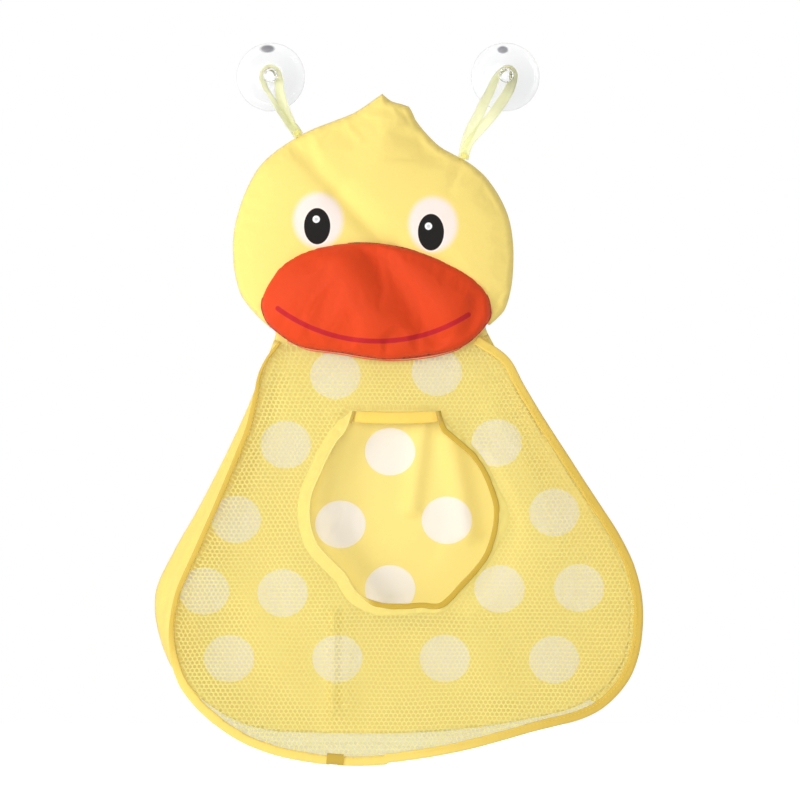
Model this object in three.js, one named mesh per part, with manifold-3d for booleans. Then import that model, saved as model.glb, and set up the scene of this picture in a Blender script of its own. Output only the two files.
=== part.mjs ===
// A bath toy organizer in the shape of a duck: a net bag with a padded head,
// hung by two ribbon loops on two suction cups.
// Millimetres. +X is to the right seen from the front, +Z is up, and the
// front faces -Y. The wall is the plane y = 0, and the origin lies on it
// midway between the suction cups.
import * as THREE from "three";
import Module from "manifold-3d";
import { mergeVertices } from "three/addons/utils/BufferGeometryUtils.js";

const wasm = await Module();
wasm.setup();

// Clearances
const seamGap = 0.3; // between sewn layers that touch
const rootGap = 0.45; // between a ribbon's end and the head seam
const wallGap = 0.5; // between the hanging bag and the wall

// Suction cups
const cupSpacing = 169.6;
const cupDiameter = 49.5;
const cupRimFlat = 5;
const cupRimThickness = 1.2;
const cupHollowDepth = 3.6;
const cupCrownDepth = 8.5;
const neckRadius = 3.5;
const knobRadius = 6.2;
const knobThickness = 3.6;

// Hanging ribbons
const ribbonWidth = 8;
const ribbonThickness = 0.6;
const ribbonPlay = 0.8; // beside the ribbon on the neck
const ribbonArchRadius = 7.2;
const tackWidth = 6.4;
const tackHeight = 2;
const tackThickness = 0.8;

// Fabric and wadding
const fabricThickness = 0.8;
const netThickness = 1;
const liningThickness = 0.6;

// Head
const headTopDrop = 12.2; // the tuft's tip below the cups' centres
const headWidth = 202.7;
const headHeight = 169.6;
const headOffset = 10.8; // the head's middle, left of the origin
const headEdge = 2.6; // height of the pad's edge over its seam
const headCrown = 11;

// Bill
const billWidth = 165.3;
const billHeight = 83.7;
const billEdge = 3;
const billCrown = 13;

// Body
const bodyWidth = 351.4;
const bodyHeight = 310.5;
const bodyOffset = 7.5; // the body's middle, right of the origin
const shoulderDrop = 1.5; // the net's top corners below the head's corners
const bagDepthTop = 6.4;
const bagDepthBottom = 45;

// Bindings
const sideBindingWidth = 3.2;
const baseBindingWidth = 6.6;
const bindingLeg = 0.8;
const lapLength = 9;
const lapLeg = 0.8;
const lipWidth = 6;

// Belly hole
const holeWidth = 133;
const holeHeight = 138.7;
const holeDrop = 58.3; // the hem's top edge below the net's shoulder
const holeOffset = 3.6; // the hole's middle, right of the body's middle
const rimWidth = 3.4;
const hemHeight = 8.6;
const hemThickness = 3.2;
const hemWall = 0.8;
const elasticThickness = 0.8;
const elasticTail = 1.2; // elastic that stands out of each end of the hem

// Net gaps
const gapPitchAcross = 18;
const gapPitchDown = 12.6;
const gapBar = 3; // net left between neighbouring gaps
const gapMargin = 2; // net left beside a seam

// Counts and angles
const cupSides = 28;
const padSteps = 2; // between the points of an outline
const bodySteps = 3;
const rimSteps = 2;
const ribbonStrandSteps = 9;
const ribbonArchSteps = 8;

// A suction cup's profiles, as shares of a radius and of a depth: the hollow
// behind it, its front from the rim to the neck, and the knob.
const cupHollowShares = [[0, 1], [0.5, 0.8], [1, 0]];
const cupDomeShares = [[1, 0], [0.76, 0.22], [0.4, 0.6], [0.12, 0.88], [0, 1]];
const knobShares = [[1, 0], [1, 0.34], [0.72, 0.8], [0, 1]];

// The head's outline runs from the tuft down the left cheek, along the hem and
// up the right cheek, as shares of half the head's width and of its height.
const headLeftShares = [
  [0.064, 0], [-0.135, 0.081], [-0.404, 0.144], [-0.582, 0.199],
  [-0.816, 0.314], [-0.972, 0.525], [-1, 0.686], [-0.95, 0.847],
  [-0.844, 0.936], [-0.73, 1],
];
const headHemShares = [
  [-0.73, 1], [-0.376, 0.907], [0.028, 0.873], [0.475, 0.903], [0.83, 0.987],
];
const headRightShares = [
  [0.83, 0.987], [0.943, 0.915], [1, 0.729], [0.965, 0.525], [0.816, 0.364],
  [0.667, 0.288], [0.475, 0.225], [0.305, 0.114], [0.255, 0.055],
  [0.135, 0.034], [0.064, 0],
];
const headMiddleShare = 0.5; // height of the crown's middle
const leftRootShare = 0.3; // where each ribbon is sewn, along its cheek
const rightRootShare = 0.486;

// The bill's outline, counter-clockwise from its top, as shares of half its
// width and of its height.
const billShares = [
  [-0.122, 0], [-0.426, 0.025], [-0.661, 0.089], [-0.861, 0.218],
  [-1, 0.51], [-0.957, 0.674], [-0.861, 0.768], [-0.661, 0.888],
  [-0.278, 0.945], [0.087, 1], [0.391, 0.97], [0.643, 0.931],
  [0.809, 0.854], [0.991, 0.656], [1, 0.562], [0.957, 0.424],
  [0.839, 0.296], [0.643, 0.184], [0.409, 0.089], [0.139, 0.025],
];
const billTopShare = 0.638; // of the head's height, down to the bill's top
const billAcrossShare = 0.021; // of half the head's width, right of its middle
const billWrapShare = 0.82; // of the crown: how far the bill follows the face

// The body's outlines run down the left side, along the bottom and up the
// right side, as shares of half the body's width and of its height. The back
// one lies a little to the left of the front one, and ends higher.
const frontShares = [
  [-0.468, 0.019], [-0.603, 0.204], [-0.754, 0.41], [-0.84, 0.521],
  [-0.91, 0.616], [-0.93, 0.729], [-0.873, 0.833], [-0.623, 0.951],
  [-0.235, 1], [0.178, 0.979], [0.55, 0.926], [0.812, 0.88],
  [0.955, 0.792], [1, 0.646], [0.951, 0.523], [0.763, 0.347],
  [0.579, 0.184], [0.391, 0],
];
const backShares = [
  [-0.509, 0.016], [-0.636, 0.199], [-0.82, 0.41], [-0.926, 0.516],
  [-1, 0.613], [-0.979, 0.72], [-0.889, 0.819], [-0.636, 0.917],
  [-0.296, 0.938], [0.178, 0.933], [0.518, 0.907], [0.755, 0.87],
  [0.91, 0.792], [0.955, 0.653], [0.91, 0.528], [0.722, 0.35],
  [0.538, 0.185], [0.362, 0],
];
const cornerShares = [0.345, 0.66]; // where the base begins and ends
const wideningShares = [0.26, 0.36]; // where the binding grows wide
const tapeJointShare = 0.47; // where the tapes meet
const underTapeShare = 0.25; // of the tape's width: how far a gusset lies in
const backTopShare = 0.2; // of the head's height: body fabric behind the head

// The lower edge of the lip, as shares of half the body's width and height.
const lipShares = [
  [-0.468, 0.03], [-0.28, 0.053], [-0.051, 0.072], [0.17, 0.06], [0.391, 0.012],
];

// The belly hole's rim, counter-clockwise from the left end of the hem to the
// right end, as shares of half the hole's width and of its height.
const rimShares = [
  [-0.546, 0.061], [-0.719, 0.156], [-0.892, 0.317], [-1, 0.449],
  [-1, 0.585], [-0.914, 0.698], [-0.632, 0.839], [-0.503, 0.936],
  [-0.24, 1], [0.2, 1], [0.4, 1], [0.622, 0.898], [0.795, 0.81],
  [0.903, 0.732], [0.978, 0.62], [1, 0.507], [0.957, 0.42],
  [0.859, 0.307], [0.73, 0.22], [0.492, 0.122], [0.373, 0.061],
];
const hemSpanShares = [-0.546, 0.373]; // the hem's ends, of half the width

// How the pads swell: each ring's share of the way out, and its height share.
const ringShares = [1, 0.94, 0.82, 0.62, 0.35];
const swellPower = 2.2;

// Depths that follow from the sizes above, all measured from the wall
const backPanelFront = wallGap + fabricThickness;
const seamDepth = backPanelFront + seamGap;
const neckLength = ribbonWidth + 2 * ribbonPlay;
const neckMiddle = cupCrownDepth + neckLength / 2;
const headTop = -headTopDrop;
const billTop = headTop - billTopShare * headHeight;
const billMiddle = -headOffset + (billAcrossShare * headWidth) / 2;
const billBack = seamDepth + headEdge + headCrown + seamGap;
const shoulder = headTop - headHeight - shoulderDrop;
const netTopDepth = seamDepth + bagDepthTop;
const netBottomDepth = bagDepthBottom;

// Outlines

// Points of a table of shares, placed in the wall plane: x across, y up.
function placed(shares, middle, top, halfWidth, height) {
  return shares.map(([u, v]) => new THREE.Vector2(middle + u * halfWidth, top - v * height));
}

// A curve through the points.
function curveThrough(points, closed) {
  const lifted = points.map((p) => new THREE.Vector3(p.x, p.y, 0));
  return new THREE.CatmullRomCurve3(lifted, closed, "centripetal");
}

function flat(point) {
  return new THREE.Vector2(point.x, point.y);
}

// Points along a curve from one share of its run to another.
function along(curve, from, to, steps) {
  return Array.from({ length: steps + 1 }, (_, i) =>
    flat(curve.getPoint(from + ((to - from) * i) / steps)),
  );
}

// A smooth closed outline through the points.
function closedOutline(points) {
  const steps = points.length * padSteps;
  return along(curveThrough(points, true), 0, 1, steps).slice(0, -1);
}

// A closed outline of smooth runs, with a corner where two runs meet.
function cornered(runs) {
  return runs.flatMap((points) => {
    const steps = (points.length - 1) * padSteps;
    return along(curveThrough(points, false), 0, 1, steps).slice(0, -1);
  });
}

// The direction that points out of a counter-clockwise outline at point i.
function outward(points, i, closed) {
  const count = points.length;
  const before = closed ? points[(i + count - 1) % count] : points[Math.max(i - 1, 0)];
  const after = closed ? points[(i + 1) % count] : points[Math.min(i + 1, count - 1)];
  const run = after.clone().sub(before).normalize();
  return new THREE.Vector2(run.y, -run.x);
}

// The outline moved outwards, or inwards for a distance below zero.
function moved(points, distance, closed = true) {
  return points.map((p, i) => p.clone().addScaledVector(outward(points, i, closed), distance));
}

// Is the point inside the outline, and at least the margin away from it?
function insideBy(point, outline, margin) {
  let inside = false;
  let nearest = Infinity;
  outline.forEach((a, i) => {
    const b = outline[(i + 1) % outline.length];
    if (a.y > point.y !== b.y > point.y) {
      const cross = a.x + ((b.x - a.x) * (point.y - a.y)) / (b.y - a.y);
      if (point.x < cross) inside = !inside;
    }
    const side = b.clone().sub(a);
    const share = point.clone().sub(a).dot(side) / side.lengthSq();
    const foot = a.clone().addScaledVector(side, THREE.MathUtils.clamp(share, 0, 1));
    nearest = Math.min(nearest, foot.distanceTo(point));
  });
  return (inside ? nearest : -nearest) >= margin;
}

// Solids

// A closed solid from vertices and triangles, with its faces pointing out.
function solid(vertices, triangles) {
  let volume = 0;
  triangles.forEach(([a, b, c]) => {
    volume += vertices[a].dot(vertices[b].clone().cross(vertices[c]));
  });
  const turned = volume < 0 ? triangles.map(([a, b, c]) => [a, c, b]) : triangles;
  const geometry = new THREE.BufferGeometry().setFromPoints(vertices);
  geometry.setIndex(turned.flat());
  return geometry;
}

// Triangles between two neighbouring rings. The sides that run back are split
// the other way.
function band(first, second, count, runsBack = () => false) {
  const triangles = [];
  for (let i = 0; i < count; i++) {
    const j = (i + 1) % count;
    if (runsBack(i)) {
      triangles.push([first + i, first + j, second + j]);
      triangles.push([first + i, second + j, second + i]);
    } else {
      triangles.push([first + i, first + j, second + i]);
      triangles.push([first + j, second + j, second + i]);
    }
  }
  return triangles;
}

// A solid swept through rings of points, with a flat cap on each end.
// The section is the ring's own outline, from which the caps are cut. Both
// faces of a thin wall are split alike, so that they never cross.
function swept(rings, section) {
  const count = section.length;
  const vertices = rings.flat();
  const runsBack = (i) => {
    const run = section[(i + 1) % count].clone().sub(section[i]);
    return run.x + run.y < 0;
  };
  const triangles = rings
    .slice(1)
    .flatMap((_, i) => band(i * count, (i + 1) * count, count, runsBack));
  const caps = THREE.ShapeUtils.triangulateShape(section, []);
  const end = (rings.length - 1) * count;
  const turnedWay = THREE.ShapeUtils.isClockWise(section);
  caps.forEach(([a, b, c]) => {
    triangles.push(turnedWay ? [a, b, c] : [c, b, a]);
    triangles.push(turnedWay ? [end + c, end + b, end + a] : [end + a, end + b, end + c]);
  });
  return solid(vertices, triangles);
}

// The rings of a pad's surface, from its edge to the ring before its middle.
function padRings(outline, middle, depthAt) {
  return ringShares.map((share) =>
    outline.map((p) => {
      const at = middle.clone().lerp(p, share);
      return new THREE.Vector3(at.x, -depthAt(share, at.x), at.y);
    }),
  );
}

// A pad's middle point, under the same law of depth.
function padMiddle(middle, depthAt) {
  return new THREE.Vector3(middle.x, -depthAt(0, middle.x), middle.y);
}

// Triangles of one surface of a pad: bands between its rings and a fan.
function padSurface(start, count, rings, apex) {
  const triangles = [];
  for (let i = 0; i < rings - 1; i++) {
    triangles.push(...band(start + i * count, start + (i + 1) * count, count));
  }
  const inner = start + (rings - 1) * count;
  for (let i = 0; i < count; i++) {
    triangles.push([inner + i, inner + ((i + 1) % count), apex]);
  }
  return triangles;
}

// A solid between a pad's front surface and its back surface.
function padSolid(outline, middle, frontDepth, backDepth) {
  const frontRings = padRings(outline, middle, frontDepth);
  const backRings = padRings(outline, middle, backDepth);
  const count = outline.length;
  const rings = ringShares.length;
  const vertices = [...frontRings.flat(), ...backRings.flat()];
  vertices.push(padMiddle(middle, frontDepth), padMiddle(middle, backDepth));
  const backStart = rings * count;
  const frontApex = 2 * backStart;
  const backApex = frontApex + 1;
  const turned = padSurface(backStart, count, rings, backApex).map(([a, b, c]) => [a, c, b]);
  return solid(vertices, [
    ...padSurface(0, count, rings, frontApex),
    ...turned,
    ...band(backStart, 0, count),
  ]);
}

// A fabric shell over a pad: its rim stands on the seam and it is open behind.
function padShell(outline, middle, seam, frontDepth) {
  const inner = moved(outline, -fabricThickness);
  const innerDepth = (share, x) => frontDepth(share, x) - fabricThickness;
  const count = outline.length;
  const rings = ringShares.length + 1;
  const rimAt = (points) => points.map((p) => new THREE.Vector3(p.x, -seam(p.x), p.y));
  const outerRings = [rimAt(outline), ...padRings(outline, middle, frontDepth)];
  const innerRings = [rimAt(inner), ...padRings(inner, middle, innerDepth)];
  const vertices = [...outerRings.flat(), ...innerRings.flat()];
  vertices.push(padMiddle(middle, frontDepth), padMiddle(middle, innerDepth));
  const innerStart = rings * count;
  const outerApex = 2 * innerStart;
  const innerApex = outerApex + 1;
  const turned = padSurface(innerStart, count, rings, innerApex).map(([a, b, c]) => [a, c, b]);
  return solid(vertices, [
    ...padSurface(0, count, rings, outerApex),
    ...turned,
    ...band(innerStart, 0, count),
  ]);
}

// How far a pad swells at a ring's share of the way out.
function swell(share) {
  return 1 - share ** swellPower;
}

// A geometry as a manifold solid, and back.
function toManifold(geometry) {
  const bare = geometry.clone();
  bare.deleteAttribute("normal");
  bare.deleteAttribute("uv");
  const merged = mergeVertices(bare);
  return new wasm.Manifold(
    new wasm.Mesh({
      numProp: 3,
      vertProperties: merged.attributes.position.array,
      triVerts: new Uint32Array(merged.index.array),
    }),
  );
}

function fromManifold(made) {
  const mesh = made.getMesh();
  const geometry = new THREE.BufferGeometry();
  geometry.setAttribute("position", new THREE.BufferAttribute(mesh.vertProperties, 3));
  geometry.setIndex(new THREE.BufferAttribute(mesh.triVerts, 1));
  return geometry;
}

// A plate cut to an outline in the wall plane, standing off the wall from one
// depth to a greater one.
function plate(outline, holes, from, thickness) {
  const shape = new THREE.Shape(outline);
  shape.holes = holes.map((hole) => new THREE.Path(hole));
  const geometry = new THREE.ExtrudeGeometry(shape, { depth: thickness, bevelEnabled: false });
  geometry.rotateX(Math.PI / 2);
  geometry.translate(0, -from, 0);
  return geometry;
}

// Materials
function finish(color, roughness, extra = {}) {
  return new THREE.MeshStandardMaterial({ color, roughness, metalness: 0, ...extra });
}

const materials = {
  cup: finish("#eef0f1", 0.2, { transparent: true, opacity: 0.7 }),
  ribbon: finish("#f8f4b6", 0.6),
  face: finish("#fbee90", 0.8),
  bill: finish("#de4a20", 0.75),
  dotted: finish("#f9e38b", 0.8),
  net: finish("#f3dd84", 0.7),
  gusset: finish("#fae680", 0.8),
  binding: finish("#f3d678", 0.8),
  drain: finish("#e6dfb4", 0.8),
  wadding: finish("#f4f4f0", 0.95),
  thread: finish("#f1d873", 0.8),
  elastic: finish("#efeadb", 0.8),
};

function part(name, geometry, material) {
  const mesh = new THREE.Mesh(geometry, material);
  mesh.name = name;
  return mesh;
}

// Suction cups: a disc with a flat rim and a hollow behind it, a neck for the
// ribbon, and a knob that keeps the ribbon on.
function cupGeometry() {
  const radius = cupDiameter / 2;
  const hollowRadius = radius - cupRimFlat;
  const knobStart = cupCrownDepth + neckLength;
  const domeRise = cupCrownDepth - cupRimThickness;
  const points = [
    ...cupHollowShares.map(([r, depth]) => [r * hollowRadius, depth * cupHollowDepth]),
    [radius, 0],
    ...cupDomeShares.map(([r, rise]) => [
      THREE.MathUtils.lerp(neckRadius, radius, r),
      cupRimThickness + rise * domeRise,
    ]),
    [neckRadius, knobStart],
    ...knobShares.map(([r, depth]) => [r * knobRadius, knobStart + depth * knobThickness]),
  ];
  const profile = points.map(([r, depth]) => new THREE.Vector2(r, -depth));
  return new THREE.LatheGeometry(profile.reverse(), cupSides);
}

function suctionCup(side, x) {
  const cup = part("suction_cup_" + side, cupGeometry(), materials.cup);
  cup.position.x = x;
  return cup;
}

// Head

const headMiddle = new THREE.Vector2(-headOffset, headTop - headMiddleShare * headHeight);
const headPlaced = (shares) => placed(shares, -headOffset, headTop, headWidth / 2, headHeight);
const headLeft = headPlaced(headLeftShares);
const headRight = headPlaced(headRightShares);
const headOutline = cornered([headLeft, headPlaced(headHemShares), headRight]);

const headFace = (share) => seamDepth + headEdge + headCrown * swell(share);

function head() {
  const inner = moved(headOutline, -(fabricThickness + seamGap));
  const waddingBack = seamDepth + liningThickness + seamGap;
  const group = new THREE.Group();
  group.add(
    part(
      "head_front_panel",
      padShell(headOutline, headMiddle, () => seamDepth, headFace),
      materials.face,
    ),
    part(
      "head_padding",
      padSolid(
        inner,
        headMiddle,
        (share) => headFace(share) - fabricThickness - seamGap,
        () => waddingBack,
      ),
      materials.wadding,
    ),
    part("head_lining", plate(inner, [], seamDepth, liningThickness), materials.face),
  );
  return group;
}

// Bill: a padded flap over the lower face. Its back lies on the face, so it
// bends back towards the cheeks.
function bill() {
  const points = placed(billShares, billMiddle, billTop, billWidth / 2, billHeight);
  const outline = closedOutline(points);
  const middle = new THREE.Vector2(billMiddle, billTop - billHeight / 2);
  const inner = moved(outline, -(fabricThickness + seamGap));
  const wrap = (x) =>
    headCrown * billWrapShare * ((x - billMiddle) / (headWidth / 2)) ** 2;
  const back = (x) => billBack - wrap(x);
  const face = (share, x) => back(x) + billEdge + billCrown * swell(share);
  const group = new THREE.Group();
  group.add(
    part("bill_front_panel", padShell(outline, middle, back, face), materials.bill),
    part(
      "bill_padding",
      padSolid(
        inner,
        middle,
        (share, x) => face(share, x) - fabricThickness - seamGap,
        (share, x) => back(x) + liningThickness + seamGap,
      ),
      materials.wadding,
    ),
    part(
      "bill_lining",
      padSolid(
        inner,
        middle,
        (share, x) => back(x) + liningThickness,
        (share, x) => back(x),
      ),
      materials.bill,
    ),
  );
  return group;
}

// Body

const bodyPlaced = (shares) => placed(shares, bodyOffset, shoulder, bodyWidth / 2, bodyHeight);
const frontCurve = curveThrough(bodyPlaced(frontShares), false);
const backCurve = curveThrough(bodyPlaced(backShares), false);
const outlineSteps = (frontShares.length - 1) * bodySteps;
const frontEdge = along(frontCurve, 0, 1, outlineSteps);
const backEdge = along(backCurve, 0, 1, outlineSteps);

// Depth of the net's middle plane at a height: it slants out towards the base.
function netDepth(z) {
  const share = (shoulder - z) / bodyHeight;
  return netTopDepth + (netBottomDepth - netTopDepth) * share;
}

// The binding's width at a step of the outline: narrow down the left side.
function bindingWidth(step) {
  const [start, end] = wideningShares;
  const grown = THREE.MathUtils.smoothstep(step / outlineSteps, start, end);
  return THREE.MathUtils.lerp(sideBindingWidth, baseBindingWidth, grown);
}

// Rings of a section along a path in the wall plane, slanted with the net. The
// section reaches to the left of the path for a side of 1, to its right for -1.
function slantedRings(path, side, sectionAt) {
  return path.map((p, i) => {
    const reach = outward(path, i, false).multiplyScalar(-side);
    return sectionAt(i).map((s) => {
      const at = p.clone().addScaledVector(reach, s.x);
      return new THREE.Vector3(at.x, s.y - netDepth(at.y), at.y);
    });
  });
}

// The rings between two places, counted in rings. An end that falls between
// two rings gets a ring of its own.
function stretch(rings, from, to) {
  const between = (place) => {
    const i = Math.min(Math.floor(place), rings.length - 2);
    return rings[i].map((p, k) => p.clone().lerp(rings[i + 1][k], place - i));
  };
  const inner = rings.slice(Math.floor(from) + 1, Math.ceil(to));
  return [between(from), ...inner, between(to)];
}

// How many steps of the outline a length takes up at a place.
function stepsOf(length, place) {
  const i = Math.min(Math.floor(place), outlineSteps - 1);
  return length / frontEdge[i].distanceTo(frontEdge[i + 1]);
}

// Tape folded round the net's edge: a channel, closed at the path.
function tapeSection(width) {
  const inside = netThickness / 2 + seamGap;
  const outside = inside + bindingLeg;
  const floor = width / 2;
  return [
    new THREE.Vector2(0, -outside),
    new THREE.Vector2(width, -outside),
    new THREE.Vector2(width, -inside),
    new THREE.Vector2(floor, -inside),
    new THREE.Vector2(floor, inside),
    new THREE.Vector2(width, inside),
    new THREE.Vector2(width, outside),
    new THREE.Vector2(0, outside),
  ];
}

// The lip's tape on the net's top edge. Its path is the tape's upper edge.
function lipPath(rise) {
  const points = bodyPlaced(lipShares);
  const raised = points.map((p) => new THREE.Vector2(p.x, p.y + rise));
  return along(curveThrough(raised, false), 0, 1, (points.length - 1) * bodySteps);
}

function mouthLip() {
  const rings = slantedRings(lipPath(lipWidth), -1, () => tapeSection(lipWidth));
  return part("mouth_lip", swept(rings, tapeSection(lipWidth)), materials.bill);
}

// Where the outline's left and right sides pass under the ends of the lip.
const lipEnds = lipPath(-seamGap);
const leftTop = placeBelow(lipEnds[0].y, 0, 1);
const rightTop = placeBelow(lipEnds.at(-1).y, outlineSteps, -1);

// The first place below a height, going along the outline from a step.
function placeBelow(height, start, way) {
  let i = start;
  while (frontEdge[i + way].y > height) i += way;
  const before = frontEdge[i].y;
  const after = frontEdge[i + way].y;
  return i + (way * (before - height)) / (before - after);
}

// The belly hole's outlines, in the wall plane.
const holeMiddle = bodyOffset + holeOffset;
const hemTop = shoulder - holeDrop;
const hemBottom = hemTop - hemHeight;
const [hemLeft, hemRight] = hemSpanShares.map((share) => holeMiddle + (share * holeWidth) / 2);
const rimPoints = placed(rimShares, holeMiddle, hemTop, holeWidth / 2, holeHeight);
const rimPath = along(curveThrough(rimPoints, false), 0, 1, (rimShares.length - 1) * rimSteps);
const underHem = (p) => p.y < hemBottom - seamGap;

// The net's cut edge round the hole: straight over the hem, and behind the rim.
function holeEdge() {
  const behindRim = moved(rimPath, rimWidth / 2 + seamGap, false);
  const tail = elasticTail + seamGap;
  return [
    new THREE.Vector2(hemRight + tail, hemTop + seamGap),
    new THREE.Vector2(hemLeft - tail, hemTop + seamGap),
    ...behindRim.slice(behindRim.findIndex(underHem), behindRim.findLastIndex(underHem) + 1),
  ];
}

// The net's outline: down the left, along the bottom, up the right, and back
// along the top, with its edge in the tapes' slots.
function netOutline() {
  const edge = frontEdge.map((p, i) => {
    const inset = bindingWidth(i) / 2 + seamGap;
    return p.clone().addScaledVector(outward(frontEdge, i, false), -inset);
  });
  const sides = edge.slice(Math.ceil(leftTop), Math.floor(rightTop) + 1);
  const left = edge[Math.floor(leftTop)].x;
  const right = edge[Math.ceil(rightTop)].x;
  const top = lipPath(lipWidth / 2 - seamGap).reverse();
  return [...sides, ...top.filter((p) => p.x > left && p.x < right)];
}

// Staggered diamond gaps, kept off the seams and the hole.
function netGaps(outline, hole) {
  const halfAcross = (gapPitchAcross - gapBar) / 2;
  const halfDown = gapPitchDown - gapBar;
  const columns = Math.ceil(bodyWidth / gapPitchAcross) + 1;
  const rows = Math.ceil(bodyHeight / gapPitchDown) + 1;
  const gaps = [];
  for (let row = 0; row <= rows; row++) {
    for (let column = -columns; column <= columns; column++) {
      const x = bodyOffset + (column + (row % 2) / 2) * gapPitchAcross;
      const y = shoulder - row * gapPitchDown;
      const corners = [
        new THREE.Vector2(x - halfAcross, y),
        new THREE.Vector2(x, y + halfDown),
        new THREE.Vector2(x + halfAcross, y),
        new THREE.Vector2(x, y - halfDown),
      ];
      const onNet = corners.every((p) => insideBy(p, outline, gapMargin));
      const offHole = corners.every((p) => !insideBy(p, hole, -gapMargin));
      if (onNet && offHole) gaps.push(corners);
    }
  }
  return gaps;
}

// The net: a flat plate in the wall plane, slanted so that it leaves the back.
function frontNet() {
  const outline = netOutline();
  const hole = holeEdge();
  const cuts = [hole, ...netGaps(outline, hole)];
  const geometry = plate(outline, cuts, -netThickness / 2, netThickness);
  const position = geometry.attributes.position;
  for (let i = 0; i < position.count; i++) {
    position.setY(i, position.getY(i) - netDepth(position.getZ(i)));
  }
  return part("front_net", geometry, materials.net);
}

// The gussets are one strip of fabric from the back panel to the front edge,
// cut in three where the drain mesh of the base begins and ends.
function gussets() {
  const tapeBack = netThickness / 2 + seamGap + bindingLeg + seamGap;
  const edgeAt = (edge, i, depth) => {
    const inset = bindingWidth(i) * underTapeShare + depth;
    return edge[i].clone().addScaledVector(outward(edge, i, false), -inset);
  };
  const atFront = (p) => new THREE.Vector3(p.x, tapeBack - netDepth(p.y), p.y);
  const atBack = (p) => new THREE.Vector3(p.x, -seamDepth, p.y);
  const rings = frontEdge.map((_, i) => [
    atFront(edgeAt(frontEdge, i, 0)),
    atFront(edgeAt(frontEdge, i, fabricThickness)),
    atBack(edgeAt(backEdge, i, fabricThickness)),
    atBack(edgeAt(backEdge, i, 0)),
  ]);
  const section = [
    new THREE.Vector2(1, 1),
    new THREE.Vector2(0, 1),
    new THREE.Vector2(0, 0),
    new THREE.Vector2(1, 0),
  ];
  const [leftCorner, rightCorner] = cornerShares.map((share) => share * outlineSteps);
  const left = stepsOf(seamGap / 2, leftCorner);
  const right = stepsOf(seamGap / 2, rightCorner);
  const strip = (name, from, to, material) =>
    part(name, swept(stretch(rings, from, to), section), material);
  return [
    strip("side_gusset_left", 0, leftCorner - left, materials.gusset),
    strip("base_gusset", leftCorner + left, rightCorner - right, materials.drain),
    strip("side_gusset_right", rightCorner + right, outlineSteps, materials.gusset),
  ];
}

// The back panel: one piece behind the head and the body.
function backPanel() {
  const top = shoulder + shoulderDrop + backTopShare * headHeight;
  const behindChin = [
    new THREE.Vector2(backEdge.at(-1).x, top),
    new THREE.Vector2(backEdge[0].x, top),
  ];
  const body = toManifold(plate([...backEdge, ...behindChin], [], wallGap, fabricThickness));
  const behindHead = toManifold(plate(headOutline, [], wallGap, fabricThickness));
  return part("back_panel", fromManifold(body.add(behindHead)), materials.dotted);
}

// The binding is two tapes round the front edge that meet at the lower left,
// under the folded end of one of them.
function bindings() {
  const joint = tapeJointShare * outlineSteps;
  const half = stepsOf(seamGap / 2, joint);
  const rings = slantedRings(frontEdge, 1, (i) => tapeSection(bindingWidth(i)));
  const tape = (from, to) => swept(stretch(rings, from, to), tapeSection(baseBindingWidth));
  const cover = lapLeg + seamGap;
  const lapHalf = stepsOf(lapLength / 2, joint);
  const lapRings = slantedRings(moved(frontEdge, cover, false), 1, () => lapSection(cover));
  const lap = swept(stretch(lapRings, joint - lapHalf, joint + lapHalf), lapSection(cover));
  return [
    part("net_binding_left", tape(leftTop, joint - half), materials.binding),
    part("net_binding_right", tape(joint + half, rightTop), materials.binding),
    part("binding_lap", lap, materials.binding),
  ];
}

// The folded end's section: a channel that goes round the tape's closed side,
// with a short leg behind.
function lapSection(cover) {
  const inside = netThickness / 2 + seamGap + bindingLeg + seamGap;
  const outside = inside + lapLeg;
  const width = baseBindingWidth + cover;
  const shortLeg = baseBindingWidth * underTapeShare - seamGap;
  return [
    new THREE.Vector2(0, -outside),
    new THREE.Vector2(width, -outside),
    new THREE.Vector2(width, -inside),
    new THREE.Vector2(lapLeg, -inside),
    new THREE.Vector2(lapLeg, inside),
    new THREE.Vector2(shortLeg, inside),
    new THREE.Vector2(shortLeg, outside),
    new THREE.Vector2(0, outside),
  ];
}

// The belly hole's piping, and the hem across its top with elastic inside.
function belly() {
  const rim = rimPath.filter(underHem);
  const hemDepth = netDepth(hemTop - hemHeight / 2);
  const hemLength = hemRight - hemLeft;
  const middle = (hemLeft + hemRight) / 2;
  const casing = new THREE.Shape();
  const holder = new THREE.Path();
  const box = (path, width, height) =>
    path.setFromPoints([
      new THREE.Vector2(-width / 2, -height / 2),
      new THREE.Vector2(width / 2, -height / 2),
      new THREE.Vector2(width / 2, height / 2),
      new THREE.Vector2(-width / 2, height / 2),
    ]);
  box(casing, hemThickness, hemHeight);
  box(holder, hemThickness - 2 * hemWall, hemHeight - 2 * hemWall);
  casing.holes = [holder];
  const tube = new THREE.ExtrudeGeometry(casing, { depth: hemLength, bevelEnabled: false });
  tube.translate(0, 0, -hemLength / 2);
  tube.rotateY(Math.PI / 2);
  tube.rotateX(Math.PI / 2);
  const hem = part("belly_hem", tube, materials.gusset);
  const elastic = part(
    "belly_elastic",
    new THREE.BoxGeometry(
      hemLength + 2 * elasticTail,
      elasticThickness,
      hemHeight - 2 * hemWall - 2 * seamGap,
    ),
    materials.elastic,
  );
  const group = new THREE.Group();
  group.position.set(middle, -hemDepth, hemTop - hemHeight / 2);
  group.add(hem, elastic);
  const rimRings = slantedRings(rim, -1, () => tapeSection(rimWidth));
  const piping = part("belly_rim", swept(rimRings, tapeSection(rimWidth)), materials.binding);
  return [group, piping];
}

// Ribbons

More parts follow.
